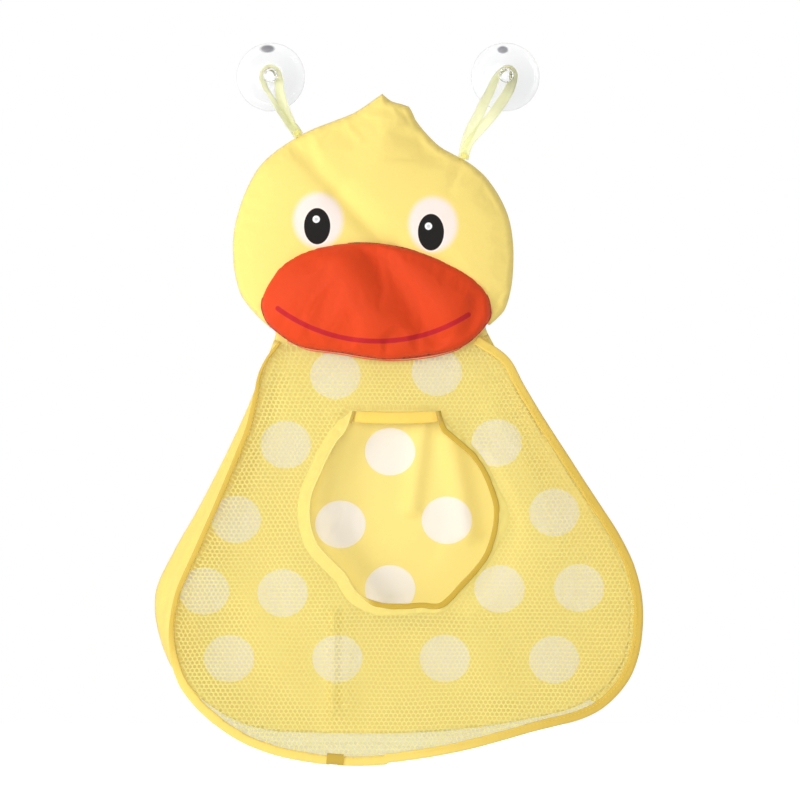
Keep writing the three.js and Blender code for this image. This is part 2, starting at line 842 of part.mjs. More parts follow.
// A loop from the head seam up round a cup's neck and back: a flat band that
// lies across the neck and turns flat against the seam at its root.
function ribbonLoop(root, neckX) {
  const neck = new THREE.Vector2(neckX, 0);
  const pull = neck.clone().sub(root).normalize();
  const across = new THREE.Vector2(pull.y, -pull.x);
  const bearing = neckRadius + seamGap + ribbonThickness / 2;
  const archMiddle = neck.clone().addScaledVector(pull, bearing - ribbonArchRadius);
  const start = root.clone().addScaledVector(pull, rootGap);
  const reach = archMiddle.clone().sub(start).length();
  const firstDepth = seamDepth + ribbonThickness / 2;
  const secondDepth = firstDepth + ribbonThickness + seamGap;
  const rings = [];
  const ring = (at, way, depth, turn) => {
    const flatWay = across.clone().multiplyScalar(Math.sin(turn));
    const wide = new THREE.Vector3(flatWay.x, Math.cos(turn), flatWay.y).normalize();
    const thick = way.clone().cross(wide).normalize();
    const middle = new THREE.Vector3(at.x, -depth, at.y);
    const corner = (w, t) =>
      middle
        .clone()
        .addScaledVector(wide, (w * ribbonWidth) / 2)
        .addScaledVector(thick, (t * ribbonThickness) / 2);
    rings.push([corner(-1, -1), corner(1, -1), corner(1, 1), corner(-1, 1)]);
  };
  const strand = (side, rootDepth, share) => {
    const eased = THREE.MathUtils.smoothstep(share, 0, 1);
    const spread = side * ribbonArchRadius * Math.sin((share * Math.PI) / 2);
    const at = start
      .clone()
      .addScaledVector(pull, reach * share)
      .addScaledVector(across, spread);
    const depth = THREE.MathUtils.lerp(rootDepth, neckMiddle, eased);
    const way = new THREE.Vector3(pull.x, 0, pull.y).multiplyScalar(-side);
    ring(at, way, depth, (1 - eased) * (Math.PI / 2));
  };
  for (let i = 0; i <= ribbonStrandSteps; i++) {
    strand(-1, firstDepth, i / ribbonStrandSteps);
  }
  for (let i = 1; i < ribbonArchSteps; i++) {
    const angle = (Math.PI * i) / ribbonArchSteps;
    const at = archMiddle
      .clone()
      .addScaledVector(across, -Math.cos(angle) * ribbonArchRadius)
      .addScaledVector(pull, Math.sin(angle) * ribbonArchRadius);
    const run = across
      .clone()
      .multiplyScalar(Math.sin(angle))
      .addScaledVector(pull, Math.cos(angle));
    ring(at, new THREE.Vector3(run.x, 0, run.y), neckMiddle, 0);
  }
  for (let i = ribbonStrandSteps; i >= 0; i--) {
    strand(1, secondDepth, i / ribbonStrandSteps);
  }
  const section = [
    new THREE.Vector2(-1, -1),
    new THREE.Vector2(1, -1),
    new THREE.Vector2(1, 1),
    new THREE.Vector2(-1, 1),
  ];
  return { geometry: swept(rings, section), pull, tackDepth: secondDepth };
}

function ribbon(side, run, rootShare, neckX) {
  const root = flat(curveThrough(run, false).getPoint(rootShare));
  const loop = ribbonLoop(root, neckX);
  const tack = part(
    "ribbon_tack_" + side,
    new THREE.BoxGeometry(tackWidth, tackThickness, tackHeight),
    materials.thread,
  );
  const up = rootGap + tackHeight;
  const tackAt = root.clone().addScaledVector(loop.pull, up);
  const lift = ribbonThickness / 2 + rootGap + tackThickness / 2;
  tack.position.set(tackAt.x, -(loop.tackDepth + lift), tackAt.y);
  tack.rotation.y = Math.atan2(loop.pull.x, loop.pull.y);
  return [part("hanging_ribbon_" + side, loop.geometry, materials.ribbon), tack];
}

// Assembly

const wallCups = new THREE.Group();
wallCups.add(suctionCup("left", -cupSpacing / 2), suctionCup("right", cupSpacing / 2));

const bag = new THREE.Group();
bag.add(
  head(),
  backPanel(),
  frontNet(),
  ...gussets(),
  mouthLip(),
  ...bindings(),
  ...belly(),
  ...ribbon("left", headLeft, leftRootShare, -cupSpacing / 2),
  ...ribbon("right", headRight.toReversed(), rightRootShare, cupSpacing / 2),
);

const organizer = new THREE.Group();
organizer.add(wallCups, bag, bill());

export default organizer;
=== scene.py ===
"""A bath toy bag in the shape of a duck, hung by two ribbons on suction cups.

Every size is in metres. The bag's front faces -Y and +Z is up, as in the frame.
"""

import math

import bmesh
import bpy
import numpy as np
from bpy.props import FloatProperty, FloatVectorProperty, PointerProperty
from mathutils import Matrix, Vector, noise
from mathutils.geometry import delaunay_2d_cdt
from mathutils.kdtree import KDTree


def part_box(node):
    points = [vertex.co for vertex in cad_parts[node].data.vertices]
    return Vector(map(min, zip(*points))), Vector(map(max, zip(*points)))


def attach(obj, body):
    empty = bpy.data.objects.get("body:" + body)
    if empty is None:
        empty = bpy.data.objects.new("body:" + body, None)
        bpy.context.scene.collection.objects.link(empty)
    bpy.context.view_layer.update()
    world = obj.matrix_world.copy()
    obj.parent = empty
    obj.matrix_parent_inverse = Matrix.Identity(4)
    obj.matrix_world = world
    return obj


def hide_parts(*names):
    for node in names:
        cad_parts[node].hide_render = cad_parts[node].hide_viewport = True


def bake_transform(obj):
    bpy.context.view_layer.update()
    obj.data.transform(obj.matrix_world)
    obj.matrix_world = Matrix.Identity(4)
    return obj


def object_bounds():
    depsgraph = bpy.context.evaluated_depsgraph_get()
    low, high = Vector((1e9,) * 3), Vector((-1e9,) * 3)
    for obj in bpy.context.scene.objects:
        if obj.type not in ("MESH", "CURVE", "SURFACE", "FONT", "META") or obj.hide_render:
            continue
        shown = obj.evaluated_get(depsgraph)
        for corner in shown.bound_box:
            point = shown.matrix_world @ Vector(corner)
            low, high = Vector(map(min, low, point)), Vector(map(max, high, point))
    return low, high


bl_info = {
    "name": "Duck Bath Toy Bag",
    "version": (1, 0, 0),
    "blender": (4, 5, 0),
    "location": "3D View > Sidebar > Toy Bag",
    "description": "Sews a net bath toy bag with a padded duck's head and hangs it up",
    "category": "Add Mesh",
}

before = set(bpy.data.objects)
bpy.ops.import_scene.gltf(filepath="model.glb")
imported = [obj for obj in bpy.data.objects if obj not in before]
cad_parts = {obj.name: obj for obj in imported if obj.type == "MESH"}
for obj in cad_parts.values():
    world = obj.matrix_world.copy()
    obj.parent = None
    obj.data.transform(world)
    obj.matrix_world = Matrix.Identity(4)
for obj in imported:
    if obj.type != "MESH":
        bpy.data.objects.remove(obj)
cad_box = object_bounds()

MM = 0.001
SEED = 7  # fixes where the net's cells stray
TOUCHING = 0.01 * MM  # points this close are one
CRISP = math.radians(40)  # the net's and the lap's edges stay sharp past this

# The picture: the point in its middle, its width at that point's depth, and the
# camera's lens and sensor in millimetres
PICTURE_MIDDLE = Vector((8.6 * MM, -20 * MM, -233.6 * MM))
PICTURE_WIDTH = 575 * MM
LENS = 200
SENSOR = 36

# The prints of each eye: their middles, x and z, and their half sizes, all in
# millimetres
EYES = (
    {
        "halo": ((-50.3, -104.2), (17.8, 19.6)),
        "pupil": ((-51.0, -108.5), (9.5, 13.1)),
        "shine": ((-51.7, -103.5), (2.6, 2.6)),
    },
    {
        "halo": ((32.3, -107.1), (17.4, 19.6)),
        "pupil": ((30.9, -112.8), (9.4, 13.2)),
        "shine": ((29.1, -108.5), (2.6, 2.6)),
    },
)

# The smile's arc in millimetres, with its ends in degrees from straight down
SMILE_MIDDLE = (-7.5, -70.4)
SMILE_RADIUS = 121
SMILE_ENDS = (-36.4, 32.7)

# The dots in millimetres: their even rows, and the places of those that the
# print shows out of them
DOT_PITCH = (77.6, 51.7)
FIRST_DOT = (1.4, -270.9)
DOT_ROWS, DOT_COLUMNS = range(-3, 6), range(-3, 4)
SEEN_DOTS = (
    (-38.1, -215.6), (35.2, -213.5), (-74.0, -265.9), (1.4, -270.9), (78.3, -264.5),
    (-110.0, -319.8), (-34.5, -323.4), (42.4, -320.5), (120.0, -314.8), (-133.0, -371.6),
    (-76.2, -373.0), (1.4, -370.1), (80.5, -370.1), (138.0, -369.4), (-115.0, -420.4),
    (-36.7, -420.4), (41.0, -420.4), (120.0, -421.2),
)

# Folds in millimetres: start, end, half width and depth, where a depth over zero
# goes inwards
HEAD_FOLDS = (
    ((-74, -43), (4, -127), 6, 2.6),
    ((-36, -86), (2, -124), 11, 2.4),
    ((4, -17), (16, -32), 3, 1.6),
    ((-60, -44), (-52, -62), 3.5, 1.0),
    ((52, -66), (44, -84), 4, 0.8),
)
BILL_FOLDS = (
    ((-16, -122), (36, -192), 12, 5.5),
    ((-36, -130), (-10, -186), 15, -3.0),
    ((66, -160), (58, -188), 8, 2.0),
    ((-2, -192), (-1, -206), 2.2, 1.0),
    ((-58, -184), (-50, -196), 2.5, 0.8),
    ((20, -190), (24, -204), 3, 0.6),
)
BACK_FOLDS = (
    ((26, -246), (17, -312), 7, -4.8),
    ((45, -262), (58, -330), 9, -5.2),
    ((-35, -250), (-51, -306), 7, -5.2),
    ((-40, -330), (-6, -378), 9, -4.4),
    ((-20, -318), (30, -340), 16, 2.5),
    ((-39, -388), (-40, -484), 3.4, -6.4),
    ((-32, -390), (-32, -484), 8, -3.4),
    ((-70, -220), (-120, -360), 14, -3.0),
    ((70, -215), (118, -340), 14, -3.0),
    ((-100, -380), (-60, -460), 15, -3.5),
    ((60, -390), (90, -465), 15, -3.5),
)

# A ribbon loop's route: the share of the way from its root to the neck, how
# far it strays across in millimetres, and its turn in degrees, where 90 shows
# the ribbon's full width to the front.
LEFT_LOOP = (
    (0.01, -0.4, 90), (0.14, -1.2, 84), (0.32, -1.4, 74), (0.52, -0.6, 62), (0.72, 1.2, 58),
    (0.90, 4.4, 52), (1.04, 5.2, 42), (1.125, 0.4, 34), (1.05, -5.4, 36), (0.90, -7.4, 30),
    (0.74, -6.6, 26), (0.56, -5.2, 34), (0.36, -3.4, 54), (0.15, -1.0, 76), (0.02, 0.4, 90),
)
RIGHT_LOOP = (
    (0.01, -0.4, 90), (0.09, -2.0, 88), (0.20, -4.0, 84), (0.34, -4.9, 78),
    (0.50, -4.6, 70), (0.64, -5.0, 62), (0.78, -4.9, 52), (0.92, -5.4, 40),
    (1.04, -3.6, 34), (1.09, 0.4, 36), (1.05, 4.4, 46), (0.97, 6.2, 56), (0.86, 6.8, 66),
    (0.72, 5.8, 72), (0.60, 4.6, 78), (0.47, 2.8, 82), (0.35, 0.6, 84), (0.23, -1.4, 86),
    (0.12, -1.2, 88), (0.02, 0.4, 90),
)

# A suction cup's outline as shares of its radius and of its depth, from the
# middle of the hollow round the rim to the knob's tip.
CUP_SHARES = (
    (0, 0.168), (0.2, 0.16), (0.42, 0.13), (0.66, 0.07), (0.8, 0.004), (0.84, 0),
    (0.985, 0), (1, 0.02), (0.985, 0.046), (0.93, 0.07), (0.86, 0.1), (0.8, 0.128),
    (0.77, 0.126), (0.62, 0.19), (0.4, 0.27), (0.24, 0.335), (0.16, 0.395), (0.142, 0.47),
    (0.142, 0.78), (0.155, 0.82), (0.2, 0.84), (0.215, 0.875), (0.205, 0.93), (0.15, 0.985),
    (0.06, 1), (0, 1),
)

# The casing's section: shares of its width from the opening's edge, and how far
# each corner stands in front of the net, in millimetres
CASING_CORNERS = (
    (0, 0.2), (0.02, 1.5), (0.14, 2.0), (0.34, 1.35), (0.62, 0.85), (0.9, 0.45),
    (1, 0.1), (0.96, -0.15), (0.6, -0.2), (0.2, -0.5), (0.03, -0.4),
)


def colour(name, description, red, green, blue):
    """A colour that can be changed, given as it would be picked."""
    return FloatVectorProperty(
        name=name,
        description=description,
        subtype="COLOR_GAMMA",
        size=3,
        min=0,
        max=1,
        default=(red / 255, green / 255, blue / 255),
    )


def length(name, description, millimetres):
    """A length that can be changed."""
    return FloatProperty(
        name=name,
        description=description,
        default=millimetres * MM,
        min=0,
        unit="LENGTH",
        precision=5,
    )


class ToyBagSizes(bpy.types.PropertyGroup):
    """The sizes of the cloth, the net and the sewing."""

    net_pitch: length("Net pitch", "From one hole of the net to the next", 3.3)
    net_strand: length("Net strand", "Width of the net's strands", 0.68)
    net_thickness: length("Net thickness", "Thickness of the net's strands", 0.35)
    cloth: length("Cloth", "Thickness of the woven cloth", 0.4)
    weave: length("Weave", "From one thread of the weave to the next", 0.55)
    side_tape: length("Side tape", "Width of the tape down the left side", 3.8)
    base_tape: length("Base tape", "Width of the tape along the bottom", 6.6)
    tape_thickness: length("Tape thickness", "Thickness of the folded tape", 2.6)
    casing: length("Casing", "Width of the plain band round the belly hole", 8.5)
    ribbon: length("Ribbon", "Width of the hanging ribbons", 8)
    lip: length("Lip", "Width of the tape on the mouth's lower edge", 6.4)
    piping: length("Piping", "Width of the piping round the belly hole", 3.9)
    dot: length("Dot", "Half the width of a printed dot", 18.2)
    smile: length("Smile", "Half the width of the printed smile", 1.72)
    stitch: length("Stitch", "Length of one stitch", 2.2)
    thread: length("Thread", "Thickness of the sewing thread", 0.42)
    head_puff: length("Head puff", "How far the head's wadding stands off its rim", 9.0)
    bill_puff: length("Bill puff", "How far the bill's wadding stands off its rim", 9.5)


class ToyBagColours(bpy.types.PropertyGroup):
    """The colours of the cloths, the prints and the tapes."""

    face: colour("Face", "Cloth of the head", 245, 220, 125)
    halo: colour("Eye halo", "Pale print round each eye", 243, 228, 219)
    pupil: colour("Eye", "Dark print of each eye", 28, 26, 25)
    bill: colour("Bill", "Cloth of the bill", 217, 62, 2)
    smile: colour("Smile", "Printed line of the smile", 184, 16, 30)
    bill_edge: colour("Bill edge", "Thread round the bill", 158, 58, 24)
    dotted: colour("Dotted cloth", "Ground of the dotted cloth", 251, 232, 141)
    dots: colour("Dots", "Dots of the dotted cloth", 247, 240, 228)
    net: colour("Net", "Strands of the net", 255, 247, 164)
    gusset: colour("Gusset", "Cloth of the bag's sides", 250, 230, 138)
    drain: colour("Drain mesh", "Mesh of the bag's bottom", 254, 248, 222)
    tape: colour("Tape", "Binding tape, left and bottom", 242, 213, 110)
    # Painted shade on the binding tape: down its left side and up its right side
    tape_shade: colour("Tape shade", "Painted shade on the binding tape", 216, 182, 78)
    # Painted shade of the piping, where it darkens from the belly hole's lower left on
    rim: colour("Belly piping shade", "Painted shade on the piping round the belly hole", 200, 166, 60)
    casing: colour("Belly casing", "Plain band round the belly hole", 252, 235, 140)
    hem: colour("Belly hem", "Hem over the belly hole", 242, 207, 98)
    ribbon: colour("Ribbon", "Satin of the hanging ribbons", 255, 255, 206)
    thread: colour("Thread", "Sewing thread", 236, 208, 96)
    elastic: colour("Elastic", "Elastic in the belly hem", 214, 180, 86)
    wadding: colour("Wadding", "Filling of the head and the bill", 243, 243, 238)
    cup: colour("Suction cup", "Soft plastic of the suction cups", 253, 254, 254)
    floor: colour("Floor", "Floor under the bag", 250, 250, 249)


def sizes():
    """The scene's sizes, as the panel shows them."""
    return bpy.context.scene.toy_bag_sizes


def colours():
    """The scene's colours, as the panel shows them."""
    return bpy.context.scene.toy_bag_colours


def linear(picked, strength=1.0):
    """A picked colour as the shader wants it, made lighter or darker."""
    parts = [((c + 0.055) / 1.055) ** 2.4 if c > 0.04045 else c / 12.92 for c in picked]
    return (*[min(1.0, strength * c) for c in parts], 1.0)


def eased(share):
    """From 0 to 1 with a soft start and end."""
    share = min(1.0, max(0.0, share))
    return share * share * (3 - 2 * share)


def place(x, z, y=0.0):
    """A point from millimetres in the wall plane."""
    return Vector((x * MM, y, z * MM))


# Lines and outlines


def chained(edges):
    """The closed loops that boundary edges form, as lists of points."""
    left = set(edges)
    loops = []
    while left:
        edge = min(left, key=lambda e: e.index)
        left.discard(edge)
        start, vert = edge.verts
        loop = [start.co.copy()]
        while vert is not start:
            loop.append(vert.co.copy())
            edge = next(e for e in vert.link_edges if e in left)
            left.discard(edge)
            vert = edge.other_vert(vert)
        loops.append(loop)
    return loops


def run_length(points, closed=False):
    """The length of a line, or of the way round a loop."""
    ahead = points[1:] + (points[:1] if closed else [])
    return sum((b - a).length for a, b in zip(points, ahead))


def area_of(points):
    """The area inside a loop in the wall plane, over zero if it turns left."""
    ahead = points[1:] + points[:1]
    return sum(a.x * b.z - b.x * a.z for a, b in zip(points, ahead)) / 2


def front_loops(node):
    """The outlines of a CAD node's front, the longest first, all turning left."""
    facing = -0.3
    bm = bmesh.new()
    bm.from_mesh(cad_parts[node].data)
    bmesh.ops.remove_doubles(bm, verts=bm.verts, dist=TOUCHING / 5)
    bm.normal_update()
    hidden = [f for f in bm.faces if f.normal.y > facing]
    bmesh.ops.delete(bm, geom=hidden, context="FACES")
    bm.edges.index_update()
    loops = chained([e for e in bm.edges if e.is_boundary])
    bm.free()
    loops = [loop if area_of(loop) > 0 else loop[::-1] for loop in loops]
    return sorted(loops, key=lambda loop: run_length(loop, True), reverse=True)


def evened(points, spacing):
    """Points at an even spacing along a line, with both of its ends."""
    line = np.array([tuple(p) for p in points])
    at = np.concatenate([[0], np.cumsum(np.linalg.norm(np.diff(line, axis=0), axis=1))])
    steps = max(1, round(at[-1] / spacing))
    wanted = np.linspace(0, at[-1], steps + 1)
    return [Vector(p) for p in zip(*(np.interp(wanted, at, line[:, k]) for k in range(3)))]


def even_loop(loop, spacing):
    """Points at an even spacing round a loop, with its end left open."""
    return evened([*loop, loop[0]], spacing)[:-1]


def curved(points, spacing):
    """A smooth line through the points, evenly spaced, that keeps both ends."""
    parts = 8
    first = 2 * points[0] - points[1]
    last = 2 * points[-1] - points[-2]
    around = [first, *points, last]
    line = []
    for a, b, c, d in zip(around, around[1:], around[2:], around[3:]):
        for k in range(parts):
            t = k / parts
            square = 2 * a - 5 * b + 4 * c - d
            cube = 3 * b - a - 3 * c + d
            line.append(0.5 * (2 * b + (c - a) * t + square * t**2 + cube * t**3))
    return evened([*line, points[-1]], spacing)


def runs_of(loop, corner=math.radians(38)):
    """A loop cut at its corners into runs that share their ends."""
    count = len(loop)
    ahead = [loop[(i + 1) % count] - loop[i] for i in range(count)]
    corners = [i for i in range(count) if ahead[i - 1].angle(ahead[i]) > corner]
    if not corners:
        return [[*loop, loop[0]]]
    runs = []
    for a, b in zip(corners, [*corners[1:], corners[0] + count]):
        runs.append([loop[i % count] for i in range(a, b + 1)])
    return runs


def smooth_loop(loop, spacing):
    """A loop made smooth and even, with its corners kept and its end left open."""
    runs = runs_of(loop)
    if len(runs) == 1 and run_length(runs[0][:2]) > 0 and runs[0][0] == runs[0][-1]:
        wrap = 3  # points taken again past each end, so the ends meet smoothly
        line = [*loop[-wrap:], *loop, *loop[: wrap + 1]]
        whole = curved(line, spacing / 4)
        start = min(range(len(whole) // 2), key=lambda i: (whole[i] - loop[0]).length)
        end = max(range(len(whole) // 2, len(whole)), key=lambda i: -(whole[i] - loop[0]).length)
        return evened(whole[start : end + 1], spacing)[:-1]
    return [p for run in runs for p in curved(run, spacing)[:-1]]


def outward_at(points, i, closed):
    """The direction in the wall plane to the right of a line, which for a loop
    that turns left is the way out."""
    count = len(points)
    before = points[(i - 1) % count] if closed else points[max(i - 1, 0)]
    after = points[(i + 1) % count] if closed else points[min(i + 1, count - 1)]
    along = after - before
    return Vector((along.z, 0, -along.x)).normalized()


def moved_out(points, distance, closed):
    """A line moved to its right, by a length or by a length for each step."""
    by = distance if callable(distance) else lambda i: distance
    return [p + outward_at(points, i, closed) * by(i) for i, p in enumerate(points)]


def are_inside(places, loop):
    """Which places, as an array of x and z, lie inside a loop."""
    inside = np.zeros(len(places), bool)
    x, z = places[:, 0], places[:, 1]
    for a, b in zip(loop, loop[1:] + loop[:1]):
        if a.z != b.z:
            spans = (a.z > z) != (b.z > z)
            inside ^= spans & (x < a.x + (b.x - a.x) * (z - a.z) / (b.z - a.z))
    return inside


def tree_of(points):
    """A search tree of points in the wall plane."""
    tree = KDTree(len(points))
    for i, p in enumerate(points):
        tree.insert((p.x, 0, p.z), i)
    tree.balance()
    return tree


def distance_from(tree):
    """A function that gives a point's distance from the tree's nearest point."""
    return lambda p: tree.find((p.x, 0, p.z))[2]


def distance_from_edge(outline):
    """A function that gives a point's distance from an outline."""
    return distance_from(tree_of(evened([*outline, outline[0]], 1 * MM)))


# The bag's own lines, all read from the frame

back_outline = front_loops("back_panel")[0]
head_outline = front_loops("head_front_panel")[0]
bill_outline = front_loops("bill_front_panel")[0]
net_outline, hole_outline = front_loops("front_net")[:2]
net_sides, net_top = sorted(runs_of(net_outline), key=run_length, reverse=True)[:2]
hole_run = max(runs_of(hole_outline), key=run_length)

net_low, net_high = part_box("front_net")
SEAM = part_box("head_lining")[1].y  # where the head is sewn on the back panel
FRAME_NET = 1 * MM  # the net's thickness in the frame


def net_depth(x, z):
    """Where the net's middle lies: a slanted plane that billows a little."""
    share = (net_high.z - z) / (net_high.z - net_low.z)
    upper = net_high.y - FRAME_NET / 2
    lower = net_low.y + FRAME_NET / 2
    billow = 1.1 * math.sin(x / (38 * MM) + 0.7) * math.sin(z / (46 * MM))
    ripple = 0.5 * math.sin((x + z) / (19 * MM))
    return upper + (lower - upper) * share - (billow + ripple) * MM * eased(share * 6)


def shouldered(p):
    """A point of the front with the net's upper left corner drawn out sideways."""
    x, z = p.x / MM, p.z / MM
    slope = 8 * eased((z + 262) / 56)
    corner = 5.5 * eased((z + 212) / 22)
    return p - Vector(((slope + corner) * MM * eased((-30 - x) / 30), 0, 0))


def tape_width(p):
    """The binding tape's width: narrow down the left side and wide elsewhere."""
    narrow_end, wide_start, shoulder = -388 * MM, -446 * MM, -236 * MM
    if p.x > 0:
        return sizes().base_tape
    grown = eased((narrow_end - p.z) / (narrow_end - wide_start))
    tucked = 1 - 0.4 * eased((p.z - shoulder) / (30 * MM))
    return (sizes().side_tape + (sizes().base_tape - sizes().side_tape) * grown) * tucked


# Pieces


def new_object(name, bm, material):
    """An object from a bmesh, in the scene."""
    mesh = bpy.data.meshes.new(name)
    bm.to_mesh(mesh)
    bm.free()
    mesh.materials.append(material)
    made = bpy.data.objects.new(name, mesh)
    bpy.context.scene.collection.objects.link(made)
    return made


def new_piece(name, bm, material, body=None, crisp=None):
    """A smooth piece of the bag. Its edges stay sharp past the crisp angle."""
    piece = new_object(name, bm, material)
    piece.data.shade_smooth()
    if crisp:
        piece.data.set_sharp_from_angle(angle=crisp)
    if body:
        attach(piece, body)
    return piece


def thicken(piece, thickness):
    """Gives a sheet its thickness, behind the side that shows, or in front of it
    where the thickness is below zero."""
    wall = piece.modifiers.new("Thickness", "SOLIDIFY")
    wall.thickness = thickness
    wall.offset = -1
    return piece


def refine(piece, levels=1):
    """Rounds a piece's surface."""
    round_off = piece.modifiers.new("Round", "SUBSURF")
    round_off.levels = levels
    round_off.render_levels = levels
    return piece


def patch(steps_along, steps_across, place_at):
    """A grid whose points lie where place_at says, both shares from 0 to 1.
    Its UV map measures it in metres along and across."""
    bm = bmesh.new()
    bmesh.ops.create_grid(bm, x_segments=steps_along, y_segments=steps_across, size=1)
    share = {v: ((v.co.x + 1) / 2, (v.co.y + 1) / 2) for v in bm.verts}
    halfway = 0.5
    spine = [place_at(i / steps_along, halfway) for i in range(steps_along + 1)]
    rib = [place_at(halfway, i / steps_across) for i in range(steps_across + 1)]
    along, across = run_length(spine), run_length(rib)
    uv = bm.loops.layers.uv.new("UVMap")
    for face in bm.faces:
        for corner in face.loops:
            u, v = share[corner.vert]
            corner[uv].uv = (u * along, v * across)
    for vert in bm.verts:
        vert.co = place_at(*share[vert])
    return bm


def closed_up(bm):
    """Merges a tube's seam, closes its ends and turns its faces outwards."""
    bmesh.ops.remove_doubles(bm, verts=bm.verts, dist=TOUCHING / 5)
    rims = [e for e in bm.edges if e.is_boundary]
    bmesh.ops.holes_fill(bm, edges=rims, sides=0)
    bmesh.ops.recalc_face_normals(bm, faces=bm.faces)
    return bm


def tape(path, section, depth_at, reach=None, closed=False):
    """A tube along a path in the wall plane. The section's points are pairs:
    how far out of the path, and how far in front of it."""
    steps = len(path) if closed else len(path) - 1
    around = len(section)
    reach = reach or (lambda i: 1.0)

    def place_at(u, v):
        i = round(u * steps) % len(path)
        out, front = section[round(v * around) % around]
        p = path[i] + outward_at(path, i, closed) * out * reach(i)
        return Vector((p.x, depth_at(p.x, p.z) - front, p.z))

    return closed_up(patch(steps, around, place_at))


def rounded_section(width, thickness, count=16, squareness=0.55):
    """A flat section with round edges, from the path inwards."""
    points = []
    for k in range(count):
        angle = 2 * math.pi * k / count
        c, s = math.cos(angle), math.sin(angle)
        across = math.copysign(abs(c) ** squareness, c)
        up = math.copysign(abs(s) ** squareness, s)
        points.append((-width / 2 * (1 - across), thickness / 2 * up))
    return points


def round_section(radius, count):
    """A round section about its path."""
    turns = [2 * math.pi * k / count for k in range(count)]
    return [(radius * math.cos(turn), radius * math.sin(turn)) for turn in turns]


def only(kind, geom):
    """The elements of one kind: a bmesh's points, edges or faces."""
    return [g for g in geom if isinstance(g, kind)]


def cut_cloth(outline, spacing):
    """A flat sheet of even triangles in the wall plane, facing the front."""
    edges = [(i, (i + 1) % len(outline)) for i in range(len(outline))]
    row_height = spacing * math.sqrt(3) / 2
    xs = [p.x for p in outline]
    zs = [p.z for p in outline]
    grid = []
    for row in range(int((max(zs) - min(zs)) / row_height) + 1):
        shift = spacing / 2 * (row % 2)
        for column in range(int((max(xs) - min(xs)) / spacing) + 1):
            grid.append((min(xs) + column * spacing + shift, min(zs) + row * row_height))
    grid = np.array(grid)
    nearest = tree_of(outline)
    off_rim = 0.6 * spacing
    kept = grid[are_inside(grid, outline)]
    clear = [g for g in kept if nearest.find((g[0], 0, g[1]))[2] > off_rim]
    flat = [Vector((p.x, p.z)) for p in outline] + [Vector(g) for g in clear]
    points, _, faces, *_ = delaunay_2d_cdt(flat, edges, [], 1, TOUCHING / 100)
    middles = np.array([sum((points[k] for k in f), Vector((0, 0))) / 3 for f in faces])
    wanted = are_inside(middles, outline)
    bm = bmesh.new()
    verts = [bm.verts.new((p.x, 0, p.y)) for p in points]
    for face, use in zip(faces, wanted):
        if use:
            bm.faces.new([verts[k] for k in face])
    loose = [v for v in verts if not v.link_faces]
    bmesh.ops.delete(bm, geom=loose, context="VERTS")
    bm.normal_update()
    if sum(f.normal.y for f in bm.faces) > 0:
        bmesh.ops.reverse_faces(bm, faces=bm.faces)
    return bm


def pressed(p, folds):
    """How far folds push a point inwards."""
    total = 0.0
    for start, end, half_width, depth in folds:
        a, b = place(*start), place(*end)
        run = b - a
        share = (p - a).dot(run) / run.length_squared
        clipped = min(1.0, max(0.0, share))
        foot = a + run * clipped
        off = Vector((p.x - foot.x, 0, p.z - foot.z)).length / (half_width * MM)
        fade = eased(4 * (share + 0.25)) * eased(4 * (1.25 - share))
        total += depth * MM * math.exp(-off * off) * fade
    return total


def dome(distance, edge, reach, puff):
    """A pad's height at a distance from its rim: a round edge, then a swell."""
    near = min(1.0, distance / edge)
    far = min(1.0, distance / reach)
    return edge * math.sqrt(1 - (1 - near) ** 2) + puff * (1 - (1 - far) ** 2.4)


def swollen(piece, pressure=3.0, slack=0.012, furthest=1.6 * MM):
    """Swells a sheet's cloth over its filling by a short simulation. The rim is
    sewn down, and no point moves further than the given length."""
    last_frame = 20
    mesh = piece.data
    bm = bmesh.new()
    bm.from_mesh(mesh)
    rim = [v.index for v in bm.verts if v.is_boundary]
    bm.free()
    sewn = piece.vertex_groups.new(name="sewn rim")
    sewn.add(rim, 1.0, "REPLACE")
    cloth = piece.modifiers.new("Swelling", "CLOTH")
    cloth.settings.vertex_group_mass = sewn.name
    cloth.settings.use_pressure = True
    cloth.settings.uniform_pressure_force = pressure
    cloth.settings.shrink_min = -slack
    cloth.settings.effector_weights.gravity = 0
    cloth.settings.quality = 6
    cloth.collision_settings.use_collision = False
    cloth.point_cache.frame_end = last_frame
    scene = bpy.context.scene
    for number in range(1, last_frame + 1):
        scene.frame_set(number)
    shaped = piece.evaluated_get(bpy.context.evaluated_depsgraph_get())
    swelled = [v.co.copy() for v in shaped.data.vertices]
    piece.modifiers.remove(cloth)
    piece.vertex_groups.remove(sewn)
    for vert, there in zip(mesh.vertices, swelled):
        move = there - vert.co
        if move.length > furthest:
            move *= furthest / move.length
        vert.co += move
    scene.frame_set(1)


def add_stitch(bm, middle, along, half_sizes, rounding=1):
    """One stitch: a stretched ball that lies along a direction."""
    turn = along.to_track_quat("X", "Z").to_matrix().to_4x4()
    spot = Matrix.Translation(middle) @ turn @ Matrix.Diagonal((*half_sizes, 1))
    bmesh.ops.create_icosphere(bm, subdivisions=rounding, radius=1, matrix=spot)


def stitches(path, depth_at, gap=0.6 * MM):
    """A row of stitches that lies on a path."""
    long, thick = sizes().stitch, sizes().thread
    spots = evened(path, long + gap)
    bm = bmesh.new()
    for a, b in zip(spots, spots[1:]):
        middle = (a + b) / 2
        middle.y = depth_at(middle.x, middle.z)
        add_stitch(bm, middle, (b - a).normalized(), (long / 2, thick / 2, thick / 2))
    return bm


# Finishes


